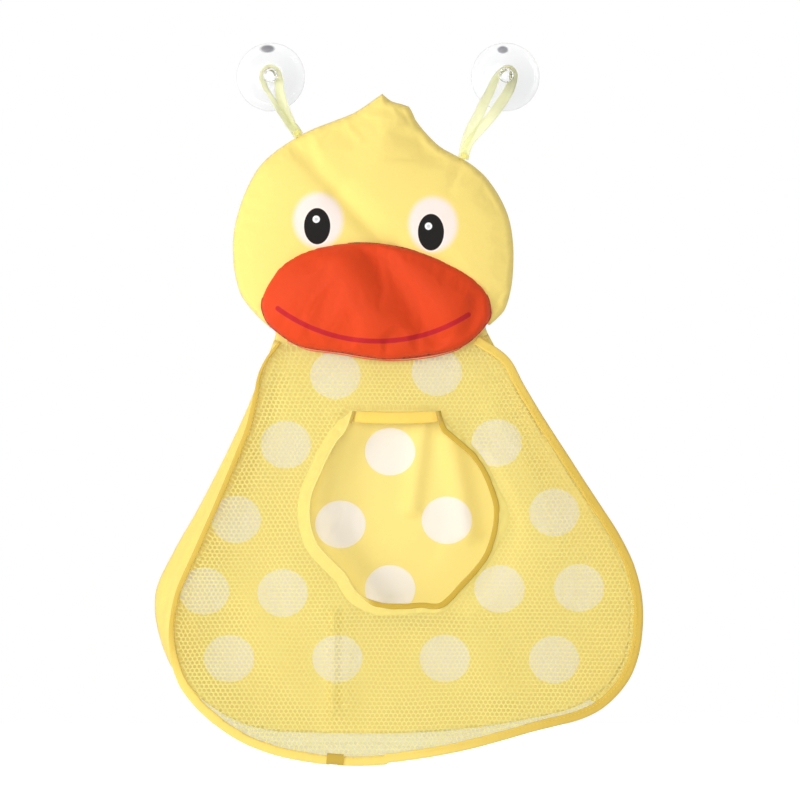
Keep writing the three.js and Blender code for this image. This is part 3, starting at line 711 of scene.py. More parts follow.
class Nodes:
    """The nodes of a material or of the world, joined as they are made."""

    def __init__(self, owner):
        owner.use_nodes = True
        self.tree = owner.node_tree

    def add(self, kind, inputs=None, **settings):
        """A new node with its settings, and with values or links for its inputs."""
        node = self.tree.nodes.new("ShaderNode" + kind)
        for key, value in settings.items():
            setattr(node, key, value)
        for key, value in (inputs or {}).items():
            self.put(node.inputs[key], value)
        return node

    def put(self, socket, value):
        """Gives a socket a value, or a link from another socket."""
        if isinstance(value, bpy.types.NodeSocket):
            self.tree.links.new(value, socket)
        else:
            socket.default_value = value

    def calc(self, operation, first, second=0.0):
        """The result of a Math node."""
        return self.add("Math", {0: first, 1: second}, operation=operation).outputs[0]


class Finish(Nodes):
    """A material for one finish."""

    def __init__(self, name, coordinates="Object"):
        self.material = bpy.data.materials.new(name)
        super().__init__(self.material)
        self.shader = self.tree.nodes["Principled BSDF"]
        self.at = self.add("TexCoord").outputs[coordinates]

    def surface(self, **inputs):
        """Sets the shader's own sockets, by their names."""
        for key, value in inputs.items():
            self.put(self.shader.inputs[key.replace("_", " ")], value)

    def let_through(self, share, tone):
        """Thin cloth lets some of the light behind it through."""
        paling = 0.35
        pale = self.add("Gamma", {"Color": tone, "Gamma": paling}).outputs[0]
        glow = self.add("BsdfTranslucent", {"Color": pale})
        mix = self.add("MixShader", {0: share})
        self.put(mix.inputs[1], self.shader.outputs[0])
        self.put(mix.inputs[2], glow.outputs[0])
        self.put(self.tree.nodes["Material Output"].inputs["Surface"], mix.outputs[0])

    def mixed(self, share, first, second):
        """The first colour, or the second where the share is 1."""
        colour_a, colour_b, colour_out = 6, 7, 2  # a Mix node's colour sockets
        inputs = {"Factor": share, colour_a: first, colour_b: second}
        return self.add("Mix", inputs, data_type="RGBA").outputs[colour_out]

    def ranged(self, value, low, high, to_low=0.0, to_high=1.0):
        """A value brought from one range to another, with soft ends."""
        ends = {"From Min": low, "From Max": high, "To Min": to_low, "To Max": to_high}
        inputs = {"Value": value, **ends}
        node = self.add("MapRange", inputs, interpolation_type="SMOOTHSTEP")
        return node.outputs["Result"]

    def along(self, axis, start, end):
        """A share that grows from 0 to 1 along an axis of the frame."""
        at = self.add("TexCoord").outputs["Object"]
        return self.ranged(self.add("SeparateXYZ", {0: at}).outputs[axis], start, end)

    def mottled(self, spot, detail=2.0, roughness=0.5):
        """Uneven patches of about the given size, from 0 to 1."""
        inputs = {"Vector": self.at, "Scale": 1 / spot, "Detail": detail}
        return self.add("TexNoise", {**inputs, "Roughness": roughness}).outputs["Fac"]

    def bands(self, pitch, direction):
        """Rounded bands at a pitch across one direction."""
        period = 2 * math.pi / 20  # of the wave at a scale of 1
        uneven = {"Distortion": 0.4, "Detail Scale": 2}
        inputs = {"Vector": self.at, "Scale": period / pitch, **uneven}
        return self.add("TexWave", inputs, bands_direction=direction).outputs["Fac"]

    def raised(self, height, distance, strength=1.0, under=None):
        """A normal that follows a height."""
        node = self.add("Bump", {"Height": height, "Distance": distance, "Strength": strength})
        if under is not None:
            self.put(node.inputs["Normal"], under)
        return node.outputs["Normal"]

    def disc(self, centre, radii, softness):
        """1 inside an ellipse in the wall plane, with an edge this soft."""
        _, away = self.centred(centre, (radii[0] * MM, radii[1] * MM))
        return self.ranged(away, 1 + softness, 1 - softness)

    def centred(self, centre, scales):
        """A place seen from a centre in the wall plane, and its distance."""
        flattened = 1000.0  # so the depth doesn't count
        inputs = {"Vector": self.at, "Location": place(*centre)}
        inputs["Scale"] = (scales[0], flattened, scales[1])
        at = self.add("Mapping", inputs, vector_type="TEXTURE").outputs[0]
        away = self.add("VectorMath", {0: at}, operation="LENGTH").outputs["Value"]
        return at, away


def woven(name, picked, across="Z", coordinates="Object", print_on=None, gloss=0.25, thin=0.0):
    """A woven cloth: its colour varies a little, and its threads stand up."""
    cloth = Finish(name, coordinates)
    pale = linear(picked, 1.035)
    deep = linear(picked, 0.955)
    tone = cloth.mixed(cloth.mottled(60 * MM), deep, pale)
    flecks = cloth.ranged(cloth.mottled(1.6 * MM, 3.0), 0.35, 0.75, 0.0, 0.16)
    tone = cloth.mixed(flecks, tone, linear(picked, 0.88))
    if print_on:
        tone = print_on(cloth, tone)
    warp = cloth.bands(sizes().weave, "X")
    weft = cloth.bands(sizes().weave, across)
    threads = cloth.calc("MULTIPLY", warp, weft)
    soft = cloth.raised(cloth.mottled(9 * MM, 3.0), 0.5 * MM, 0.5)
    normal = cloth.raised(threads, 0.09 * MM, 0.7, soft)
    cloth.surface(
        Base_Color=tone,
        Normal=normal,
        Roughness=0.85 - 0.6 * gloss,
        Sheen_Weight=0.06,
        Sheen_Roughness=0.5,
        Specular_IOR_Level=gloss,
    )
    if thin:
        cloth.let_through(thin, tone)
    return cloth.material


def strip_cloth(name, picked, **options):
    """A woven cloth whose threads follow a strip or a tape."""
    return woven(name, picked, across="Y", coordinates="UV", **options)


def eyes_print(cloth, tone):
    """The eyes: a soft pale halo, a dark oval and a shine with a grey middle."""
    halo, pupil = linear(colours().halo), linear(colours().pupil)
    white = (0.95, 0.95, 0.94, 1)
    grey = (0.62, 0.64, 0.64, 1)
    for eye in EYES:
        tone = cloth.mixed(cloth.disc(*eye["halo"], 0.16), tone, halo)
        centre, radii = eye["pupil"]
        ring = (radii[0] + 0.9, radii[1] + 0.9)
        tone = cloth.mixed(cloth.disc(centre, ring, 0.05), tone, linear(colours().halo, 1.06))
        tone = cloth.mixed(cloth.disc(centre, radii, 0.025), tone, pupil)
        centre, radii = eye["shine"]
        tone = cloth.mixed(cloth.disc(centre, radii, 0.12), tone, white)
        tone = cloth.mixed(cloth.disc(centre, (radii[0] / 2, radii[1] / 2), 0.3), tone, grey)
    return tone


def smile_print(cloth, tone):
    """The smile: a printed stroke on an arc, with soft round ends."""
    half = sizes().smile
    soft = 0.25 * MM
    at, away = cloth.centred(SMILE_MIDDLE, (1, 1))
    off = cloth.calc("ABSOLUTE", cloth.calc("SUBTRACT", away, SMILE_RADIUS * MM))
    parts = cloth.add("SeparateXYZ", {0: at})
    down = cloth.calc("MULTIPLY", parts.outputs["Z"], -1.0)
    angle = cloth.calc("ARCTAN2", parts.outputs["X"], down)
    middle = math.radians(sum(SMILE_ENDS) / 2)
    reach = math.radians((SMILE_ENDS[1] - SMILE_ENDS[0]) / 2)
    past = cloth.calc("ABSOLUTE", cloth.calc("SUBTRACT", angle, middle))
    past = cloth.calc("MULTIPLY", cloth.calc("SUBTRACT", past, reach), SMILE_RADIUS * MM)
    past = cloth.calc("MAXIMUM", past)
    squares = [cloth.calc("MULTIPLY", part, part) for part in (off, past)]
    distance = cloth.calc("SQRT", cloth.calc("ADD", *squares))
    marked = cloth.ranged(distance, half + soft, half - soft)
    return cloth.mixed(marked, tone, linear(colours().smile))


def dots_print(cloth, tone):
    """The dots, from the sheet's own measure of how far inside one a point is."""
    edge = 0.22 * MM
    inside = cloth.add("Attribute", attribute_name="dot").outputs["Fac"]
    marked = cloth.ranged(inside, -edge, edge)
    return cloth.mixed(marked, tone, linear(colours().dots))


def stitched(name, picked):
    """Twisted thread."""
    thread = Finish(name)
    tone = thread.mixed(thread.mottled(4 * MM), linear(picked, 0.9), linear(picked, 1.05))
    twist = thread.bands(0.5 * MM, "DIAGONAL")
    thread.surface(
        Base_Color=tone,
        Normal=thread.raised(twist, 0.08 * MM),
        Roughness=0.6,
        Sheen_Weight=0.2,
    )
    return thread.material


def speckled_thread(name, picked):
    """The thread round the bill: brown, with irregular dark spots."""
    thread = Finish(name)
    spots = thread.ranged(thread.mottled(1.8 * MM, 1.0), 0.54, 0.62)
    tone = thread.mixed(spots, linear(picked, 1.5), linear(picked, 0.45))
    thread.surface(
        Base_Color=tone,
        Normal=thread.raised(thread.bands(0.6 * MM, "DIAGONAL"), 0.1 * MM),
        Roughness=0.7,
    )
    return thread.material


def satin(name, picked):
    """Ribbon satin: fine ribs across, a soft gloss and paler stripes."""
    ribbon = Finish(name, "UV")
    stripes = ribbon.bands(5.5 * MM, "Y")
    tone = ribbon.mixed(ribbon.mottled(5 * MM), linear(picked, 0.9), linear(picked, 1.06))
    tone = ribbon.mixed(ribbon.ranged(stripes, 0.2, 1.0, 0.0, 0.35), tone, linear(picked, 1.12))
    ribs = ribbon.calc("ADD", ribbon.bands(0.35 * MM, "X"), ribbon.mottled(3 * MM))
    ribbon.surface(
        Base_Color=tone,
        Normal=ribbon.raised(ribs, 0.1 * MM),
        Roughness=0.42,
        Sheen_Weight=0.25,
        Specular_IOR_Level=0.45,
    )
    ribbon.let_through(0.7, tone)
    return ribbon.material


def knitted(name, picked, spot):
    """Knitted mesh seen close: rows of fine openings, painted a little darker as the shade seen
    through them.
    """
    mesh = Finish(name, "UV")
    rows = mesh.calc("MULTIPLY", mesh.bands(spot, "X"), mesh.bands(spot, "Y"))
    unshaded = mesh.ranged(rows, 0.25, 0.6)
    tone = mesh.mixed(mesh.mottled(40 * MM), linear(picked, 0.94), linear(picked, 1.05))
    # Painted shade: the openings are a little darker than the yarn.
    tone = mesh.mixed(unshaded, linear(picked, 0.96), tone)
    mesh.surface(
        Base_Color=tone,
        Normal=mesh.raised(rows, 0.3 * MM),
        Roughness=0.85,
        Sheen_Weight=0.1,
    )
    mesh.let_through(0.72, tone)
    return mesh.material


def strand_finish(name, picked):
    """The net's yarn."""
    yarn = Finish(name)
    tone = yarn.mixed(yarn.mottled(45 * MM), linear(picked, 0.93), linear(picked, 1.05))
    twist = yarn.bands(0.3 * MM, "DIAGONAL")
    yarn.surface(
        Base_Color=tone,
        Normal=yarn.raised(twist, 0.05 * MM),
        Roughness=0.6,
        Sheen_Weight=0.15,
    )
    yarn.let_through(0.4, tone)
    return yarn.material


def fluffy(name, picked):
    """Loose polyester wadding."""
    wadding = Finish(name)
    fibres = wadding.mottled(1.2 * MM, 6.0, 0.7)
    tone = wadding.mixed(fibres, linear(picked, 0.85), linear(picked))
    wadding.surface(
        Base_Color=tone,
        Normal=wadding.raised(fibres, 1.5 * MM),
        Roughness=0.95,
        Sheen_Weight=0.4,
    )
    return wadding.material


def ribbed(name, picked):
    """Flat elastic with ribs along it, painted darker between the ribs as their shade."""
    elastic = Finish(name)
    ribs = elastic.bands(0.9 * MM, "Z")
    # Painted shade: the grooves between the ribs are darker than the ridges.
    tone = elastic.mixed(ribs, linear(picked, 0.8), linear(picked, 1.05))
    elastic.surface(Base_Color=tone, Normal=elastic.raised(ribs, 0.3 * MM), Roughness=0.7)
    return elastic.material


def clear_plastic(name, picked, mark, shade):
    """Soft clear plastic, cloudy in patches, with painted shade on one side and a grey oval
    mark.
    """
    plastic = Finish(name)
    cloud = plastic.mottled(14 * MM, 3.0)
    tone = plastic.mixed(cloud, linear(picked, 0.98), linear(picked, 1.1))
    # Painted shade: the cup is darker towards its lower right.
    tone = plastic.mixed(plastic.disc(*shade, 0.9), tone, linear(picked, 0.88))
    patchy = plastic.ranged(cloud, 0.2, 0.6, 0.6, 1.0)
    # A grey oval painted near the cup's top, fainter in patches.
    marked = plastic.calc("MULTIPLY", plastic.disc(*mark, 0.3), patchy)
    grey = (0.27, 0.27, 0.29, 1)
    tone = plastic.mixed(marked, tone, grey)
    plastic.surface(
        Base_Color=tone,
        Normal=plastic.raised(cloud, 0.4 * MM, 0.4),
        Roughness=plastic.ranged(cloud, 0.3, 0.7, 0.12, 0.24),
        Transmission_Weight=0.95,
        IOR=1.45,
    )
    return plastic.material


# Suction cups


class TOYBAG_OT_suction_cups(bpy.types.Operator):
    """Mould the two clear suction cups with their necks and knobs"""

    bl_idname = "toybag.suction_cups"
    bl_label = "Suction Cups"

    # The grey oval marks: their middles and half sizes in millimetres
    marks = {"left": ((-87.2, 20.2), (5.0, 2.7)), "right": ((82.9, 19.5), (3.7, 2.6))}

    def execute(self, context):
        for side, mark in self.marks.items():
            low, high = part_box("suction_cup_" + side)
            radius, depth = (high.x - low.x) / 2, high.y - low.y
            middle = Vector(((low.x + high.x) / 2, high.y, (low.z + high.z) / 2))
            corners = [Vector((r * radius, -d * depth, 0)) for r, d in CUP_SHARES]
            profile = curved(corners, 0.6 * MM)
            for p in profile:
                p.x = max(p.x, 0.0)
            profile[0].x = profile[-1].x = 0.0
            bm = bmesh.new()
            verts = [bm.verts.new(p + middle) for p in profile]
            line = [bm.edges.new(pair) for pair in zip(verts, verts[1:])]
            bmesh.ops.spin(
                bm,
                geom=[*verts, *line],
                cent=middle,
                axis=(0, 1, 0),
                angle=2 * math.pi,
                steps=72,
                use_merge=True,
            )
            bmesh.ops.remove_doubles(bm, verts=bm.verts, dist=TOUCHING)
            bmesh.ops.recalc_face_normals(bm, faces=bm.faces)
            # Where the cup's painted shade lies: towards its lower right.
            shade = ((middle.x / MM + 13, -12), (22, 22))
            finish = clear_plastic(side + " cup plastic", colours().cup, mark, shade)
            cup = new_piece(side + "_cup", bm, finish, "wall_cups")
            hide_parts("suction_cup_" + side)
        return {"FINISHED"}


# Ribbons


def ribbon_place(root, neck, stations, depths):
    """A function that gives a place on a ribbon loop from two shares."""
    pull = neck - root
    pull.y = 0
    far = pull.length
    pull.normalize()
    across = Vector((pull.z, 0, -pull.x))
    marks = [Vector((s * far, stray * MM, math.radians(turn))) for s, stray, turn in stations]
    line = curved(marks, 0.8 * MM)
    steps = len(line) - 1
    half = sizes().ribbon / 2
    seam_depth, neck_depth = depths

    def centre(i):
        mark = line[min(max(i, 0), steps)]
        near = min(1.0, mark.x / far)
        y = seam_depth + (neck_depth - seam_depth) * eased(near)
        y -= 0.9 * MM * (1 - eased(near)) * (i > steps / 2)
        return root + pull * mark.x + across * mark.y + Vector((0, y - root.y, 0))

    def place_at(u, v):
        i = round(u * steps)
        way = (centre(i + 1) - centre(i - 1)).normalized()
        flat = Vector((-way.z, 0, way.x)).normalized()
        turn = line[i].z
        wide = (flat * math.sin(turn) + Vector((0, 1, 0)) * math.cos(turn)).normalized()
        side = 2 * v - 1
        cupped = way.cross(wide) * 0.5 * MM * (side * side - 0.5)
        crumple = noise.noise(Vector((u * 9, v * 2.5, 4.0))) * 0.5 * MM
        narrow = 1 - 0.18 * eased(1 - 6 * min(u, 1 - u))
        return centre(i) + wide * side * half * narrow + cupped + way.cross(wide) * crumple

    return steps, place_at


class TOYBAG_OT_ribbons(bpy.types.Operator):
    """Loop the two satin ribbons over the cups' necks and tack their roots"""

    bl_idname = "toybag.ribbons"
    bl_label = "Ribbons"

    def execute(self, context):
        finish = satin("ribbon satin", colours().ribbon)
        pale_yellow = (0.95, 0.91, 0.52)
        thread = stitched("tack thread", pale_yellow)
        for side, stations in (("left", LEFT_LOOP), ("right", RIGHT_LOOP)):
            self.loop(side, stations, finish)
            self.tack(side, thread)
        return {"FINISHED"}

    def ends(self, side):
        """The loop's root in the head's seam, and the cup's neck."""
        tack_low, tack_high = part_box("ribbon_tack_" + side)
        cup_bottom, cup_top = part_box("suction_cup_" + side)
        tack = (tack_low + tack_high) / 2
        neck = (cup_bottom + cup_top) / 2
        up = Vector((neck.x - tack.x, 0, neck.z - tack.z)).normalized()
        sewn_in = 3.4  # millimetres from the tack down to the root
        return tack - up * sewn_in * MM, tack, neck

    def loop(self, side, stations, finish):
        """One ribbon, from its root over the cup's neck and back."""
        root, _, neck = self.ends(side)
        ribbon_low, ribbon_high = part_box("hanging_ribbon_" + side)
        half = sizes().ribbon / 2
        depths = (ribbon_high.y - 0.5 * MM, ribbon_low.y + half)
        steps, place_at = ribbon_place(root, neck, stations, depths)
        bm = patch(steps, 8, place_at)
        bmesh.ops.recalc_face_normals(bm, faces=bm.faces)
        piece = new_piece(side + "_ribbon", bm, finish)
        thicken(piece, 0.3 * MM)
        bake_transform(piece)
        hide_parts("hanging_ribbon_" + side)

    def tack(self, side, thread):
        """A bartack: close stitches across the ribbon's root."""
        root, tack, neck = self.ends(side)
        up = Vector((neck.x - root.x, 0, neck.z - root.z)).normalized()
        across = Vector((up.z, 0, -up.x))
        half_sizes = (3.4 * MM, 0.32 * MM, 0.3 * MM)  # of one stitch
        rows, tall, tilt = 7, 2.6 * MM, 0.12
        bm = bmesh.new()
        for k in range(rows):
            middle = tack + up * (k / (rows - 1) - 0.5) * tall
            slant = (across + up * (tilt if k % 2 else -tilt)).normalized()
            add_stitch(bm, middle, slant, half_sizes, rounding=2)
        piece = new_piece(side + "_bartack", bm, thread, "bag")
        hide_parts("ribbon_tack_" + side)


# Head


def pad_sheet(name, outline, spacing, height_at, finish):
    """One side of a pad: a sheet whose points stand off by their height."""
    nearest = distance_from_edge(outline)
    bm = cut_cloth(outline, spacing)
    for vert in bm.verts:
        rim = vert.is_boundary
        vert.co.y = height_at(vert.co, 0.0 if rim else nearest(vert.co))
    bm.normal_update()
    return new_piece(name, bm, finish)


def pad_cover(name, outline, spacing, height_at, finish):
    """The front of a pad, swollen over its filling and rounded."""
    cover = pad_sheet(name, outline, spacing, height_at, finish)
    swollen(cover)
    refine(cover)
    return thicken(cover, sizes().cloth)


class TOYBAG_OT_head(bpy.types.Operator):
    """Sew and stuff the duck's head: printed cover, wadding and lining"""

    bl_idname = "toybag.head"
    bl_label = "Head"

    def execute(self, context):
        outline = smooth_loop(head_outline, 3 * MM)
        edge, reach, flat_rim = 4 * MM, 62 * MM, 6 * MM

        def front(p, distance):
            swell = dome(distance, edge, reach, sizes().head_puff)
            return SEAM - swell + pressed(p, HEAD_FOLDS) * eased(distance / flat_rim)

        finish = woven("face cloth", colours().face, print_on=eyes_print, gloss=0.14)
        cover = pad_cover("head_cover", outline, 3 * MM, front, finish)
        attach(cover, "bag")
        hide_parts("head_front_panel")
        self.filling(outline, front)
        self.lining(moved_out(outline, -1 * MM, True))
        return {"FINISHED"}

    def lining(self, outline):
        """The flat lining that closes the wadding in."""
        bm = cut_cloth(outline, 12 * MM)
        bmesh.ops.translate(bm, verts=bm.verts, vec=(0, SEAM - 0.15 * MM, 0))
        plain = woven("lining cloth", colours().face)
        lining = new_piece("head_lining_cloth", bm, plain)
        thicken(lining, -0.3 * MM)
        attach(lining, "bag")
        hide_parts("head_lining")
        abs(area_of(outline))

    def filling(self, outline, front):
        """The wadding, a closed pad a little inside the cover."""
        inner = moved_out(outline, -3.5 * MM, True)
        wadding = stuffing("head_wadding", inner, front, SEAM - 0.9 * MM, 2.6 * MM)
        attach(wadding, "bag")
        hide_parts("head_padding")


def stuffing(name, outline, front, back, gap):
    """A closed pad whose front stays a gap behind a cover's front."""
    behind = back if callable(back) else lambda x: back
    nearest = distance_from_edge(outline)
    bm = cut_cloth(outline, 6 * MM)
    rim = {v for v in bm.verts if v.is_boundary}
    fronts = [v for v in bm.verts if v not in rim]
    flat = bmesh.ops.duplicate(bm, geom=bm.verts[:] + bm.edges[:] + bm.faces[:])
    backs = only(bmesh.types.BMVert, flat["geom"])
    bmesh.ops.reverse_faces(bm, faces=only(bmesh.types.BMFace, flat["geom"]))
    for vert in (*backs, *rim):
        vert.co.y = behind(vert.co.x)
    for vert in fronts:
        depth = front(vert.co, nearest(vert.co) + gap) + gap
        vert.co.y = min(depth, behind(vert.co.x) - 0.3 * MM)
    bmesh.ops.remove_doubles(bm, verts=bm.verts, dist=TOUCHING)
    bmesh.ops.recalc_face_normals(bm, faces=bm.faces)
    piece = new_piece(name, bm, fluffy(name.replace("_", " "), colours().wadding))
    return piece


# Bill


class TOYBAG_OT_bill(bpy.types.Operator):
    """Sew and stuff the bill flap: printed cover, wadding, back and edge thread"""

    bl_idname = "toybag.bill"
    bl_label = "Bill"

    def execute(self, context):
        self.low, self.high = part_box("bill_lining")
        outline = smooth_loop(bill_outline, 2.4 * MM)
        edge, reach, flat_rim = 3.2 * MM, 36 * MM, 11 * MM

        def front(p, distance):
            swell = dome(distance, edge, reach, sizes().bill_puff)
            folded = pressed(p, BILL_FOLDS) * eased(distance / flat_rim)
            return self.rim_depth(p.x) - swell + folded

        def back(p, distance):
            return self.rim_depth(p.x) + min(1.2 * MM, distance * 0.3)

        finish = woven("bill cloth", colours().bill, print_on=smile_print, gloss=0.3)
        cover = pad_cover("bill_cover", outline, 2.4 * MM, front, finish)
        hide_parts("bill_front_panel")
        plain = woven("bill back cloth", colours().bill, gloss=0.5)
        under = pad_sheet("bill_back", outline, 5 * MM, back, plain)
        under.data.flip_normals()
        thicken(under, 0.3 * MM)
        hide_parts("bill_lining")
        abs(area_of(outline))
        inner = moved_out(outline, -3 * MM, True)
        wadding = stuffing(
            "bill_wadding", inner, front, lambda x: self.rim_depth(x) - 0.2 * MM, 2.2 * MM
        )
        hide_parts("bill_padding")
        for piece in (cover, under, wadding, self.edge_thread(outline)):
            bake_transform(piece)
        return {"FINISHED"}

    def rim_depth(self, x):
        """Where the rim lies: it bends back with the face towards both ends."""
        middle = (self.low.x + self.high.x) / 2
        share = (x - middle) / (self.high.x - middle)
        nearest = self.low.y + 0.9 * MM
        return nearest + (self.high.y - nearest) * share * share

    def edge_thread(self, outline):
        """The thick thread that closes the bill's rim."""
        section = round_section(0.38 * MM, 8)
        line = even_loop(outline, 1.2 * MM)
        bm = tape(line, section, lambda x, z: self.rim_depth(x) - 0.2 * MM, closed=True)
        finish = speckled_thread("bill edge thread", colours().bill_edge)
        return new_piece("bill_edge_thread", bm, finish)


# Back panel


def dot_places():
    """The middles of the printed dots, in staggered rows."""
    near = 27 * MM
    seen = [place(*spot) for spot in SEEN_DOTS]
    spots = list(seen)
    for row in DOT_ROWS:
        for column in DOT_COLUMNS:
            shift = 0.5 if row % 2 else 0.0
            step = Vector(((column + shift) * DOT_PITCH[0], 0, row * DOT_PITCH[1])) * MM
            middle = place(*FIRST_DOT) + step
            if min((middle - spot).length for spot in seen) > near:
                spots.append(middle)
    return spots


class TOYBAG_OT_back(bpy.types.Operator):
    """Cut the dotted back of the whole bag and let it fold as it hangs"""

    bl_idname = "toybag.back"
    bl_label = "Back"

    def execute(self, context):
        outline = smooth_loop(back_outline, 3 * MM)
        nearest = distance_from_edge(outline)
        squash = 1.06  # the print's dots are a little wider than tall
        dots = distance_from(tree_of([Vector((p.x, 0, p.z * squash)) for p in dot_places()]))
        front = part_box("back_panel")[0].y
        bm = cut_cloth(outline, 2.7 * MM)
        measure = bm.verts.layers.float.new("dot")
        dot_radius = sizes().dot
        top, pocket, sewn = -196 * MM, -232 * MM, 26 * MM
        for vert in bm.verts:
            p = vert.co.copy()
            vert[measure] = dot_radius - dots(Vector((p.x, 0, p.z * squash)))
            free = eased(nearest(p) / sewn) * eased((top - p.z) / (top - pocket))
            sway = 1.2 + 1.6 * noise.noise(Vector((p.x * 22, 0.0, p.z * 13 + 3)))
            forward = sway * MM - pressed(p, BACK_FOLDS)
            vert.co.y = front + 0.2 * MM - max(0.0, forward) * free
        bm.normal_update()
        finish = woven("dotted cloth", colours().dotted, print_on=dots_print, thin=0.42)
        piece = new_piece("dotted_back", bm, finish, "bag")
        thicken(piece, sizes().cloth)
        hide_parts("back_panel")
        abs(area_of(outline))
        return {"FINISHED"}


# Gussets


def nearest_step(line, spot):
    """The step of a line that lies nearest to a spot in the wall plane."""
    return min(range(len(line)), key=lambda i: (line[i] - spot).xz.length)


def shoulder_run(outline, start, end, spacing):
    """The part of an outline that goes round below, from start to end."""
    loop = smooth_loop(outline, spacing)
    count = len(loop)
    first = nearest_step(loop, start)
    steps = (nearest_step(loop, end) - first) % count
    return [loop[(first + i) % count] for i in range(steps + 1)]


def side_path(spacing=2 * MM):
    """The net's edge that the tape binds, from the left shoulder down, along
    the bottom and up to the right shoulder."""
    run = net_sides if net_sides[0].x < net_sides[-1].x else net_sides[::-1]
    line = curved(run, spacing)
    return [shouldered(Vector((p.x, 0, p.z))) for p in line]


def at_share(line, share):
    """The point at a share of an even line."""
    spot = share * (len(line) - 1)
    i = min(int(spot), len(line) - 2)
    return line[i].lerp(line[i + 1], spot - i)


class TOYBAG_OT_gussets(bpy.types.Operator):
    """Sew the side strips and the drain mesh between the back and the tapes"""

    bl_idname = "toybag.gussets"
    bl_label = "Gussets"

    def execute(self, context):
        self.front_line = side_path()
        ends = self.front_line[0], self.front_line[-1]
        self.back_line = shoulder_run(back_outline, *ends, 2 * MM)
        left = min(self.steps_below("side_gusset_left")) / (len(self.front_line) - 1)
        right = max(self.steps_below("side_gusset_right")) / (len(self.front_line) - 1)
        plain = strip_cloth("gusset cloth", colours().gusset, thin=0.42)
        drain = knitted("drain mesh", colours().drain, 1.5 * MM)
        gap = 0.0002  # between two strips, as a share of the way round
        self.strip("left_gusset", "side_gusset_left", 0, left - gap, "gusset_fabric", plain)
        self.strip("drain_base", "base_gusset", left + gap, right - gap, "drain_mesh", drain)
        self.strip("right_gusset", "side_gusset_right", right + gap, 1, "gusset_fabric", plain)
        return {"FINISHED"}

    def steps_below(self, node):
        """The steps of the front line on a strip's side that lie below its end."""
        side, end = (-1 if node.endswith("left") else 1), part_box(node)[0].z
        return [i for i, p in enumerate(self.front_line) if p.z < end and p.x * side > 0]

    def strip(self, name, node, start, end, slot, finish):
        """One strip of the gusset, folded lengthwise where it hangs slack."""
        long = run_length(self.front_line) * (end - start)
        steps = round(long / (2.5 * MM))

        def place_at(u, v):
            share = start + (end - start) * u
            front = at_share(self.front_line, share)
            front.y = net_depth(front.x, front.z) + 1.9 * MM
            back = at_share(self.back_line, share)
            back.y = SEAM
            line = back - front
            out = self.outward(share)
            off = line.cross(self.along(share)).normalized()
            if off.dot(out) < 0:
                off = -off
            slack = math.sin(math.pi * v) * min(1.0, line.length / (14 * MM))
            wobble = 0.7 * noise.noise(Vector((share * 14, 0, 1)))
            fold = math.sin(2 * math.pi * (2.2 * v + wobble + 2.1 * share))
            drape = noise.noise(Vector((share * 40, v * 1.5, 5)))
            return front + line * v + off * slack * (0.9 * fold + 0.9 * drape + 0.5) * MM

        bm = patch(steps, 14, place_at)
        bm.normal_update()
        middle = max(bm.faces, key=lambda f: f.calc_area())
        share = start + (end - start) / 2
        if middle.normal.dot(self.outward(share)) < 0:
            bmesh.ops.reverse_faces(bm, faces=bm.faces)
        piece = new_piece(name, bm, finish, "bag")
        thicken(piece, sizes().cloth)
        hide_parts(node)

    def along(self, share):
        """The front line's direction at a share of it."""
        line = self.front_line
        i = min(max(round(share * (len(line) - 1)), 1), len(line) - 2)
        return (line[i + 1] - line[i - 1]).normalized()

    def outward(self, share):
        """The way out of the bag at a share of the front line."""
        way = self.along(share)
        return Vector((way.z, 0, -way.x))


# Net


def hex_cells(pitch, low, high):
    """A field of hexagons that covers a box in the wall plane."""
    bm = bmesh.new()
    radius = pitch / math.sqrt(3)
    bmesh.ops.create_circle(bm, cap_ends=True, segments=6, radius=radius)
    for degrees, axis in ((30, "Z"), (90, "X")):
        turn = Matrix.Rotation(math.radians(degrees), 3, axis)
        bmesh.ops.rotate(bm, verts=bm.verts, matrix=turn)

    def repeat(offset, times):
        """Doubles the field until it holds this many copies of itself."""
        while times > 1:
            copies = bmesh.ops.duplicate(bm, geom=bm.verts[:] + bm.edges[:] + bm.faces[:])
            fresh = only(bmesh.types.BMVert, copies["geom"])
            bmesh.ops.translate(bm, verts=fresh, vec=offset)
            offset = offset * 2
            times /= 2

    row = pitch * math.sqrt(3) / 2
    repeat(Vector((pitch / 2, 0, -row)), 2)
    repeat(Vector((pitch, 0, 0)), (high.x - low.x) / pitch)
    repeat(Vector((0, 0, -2 * row)), (high.z - low.z) / (2 * row))
    bmesh.ops.translate(bm, verts=bm.verts, vec=(low.x, 0, high.z))
    bmesh.ops.remove_doubles(bm, verts=bm.verts, dist=pitch / 50)
    return bm


def strayed(p):
    """How far the net's cells stray from their rows."""
    drift = noise.noise_vector(Vector((p.x * 16, 0, p.z * 16))) * 1.5 * MM
    pull = noise.noise_vector(Vector((p.x * 60, 7, p.z * 60))) * 0.45 * MM
    return Vector((drift.x + pull.x, 0, drift.z + pull.z))


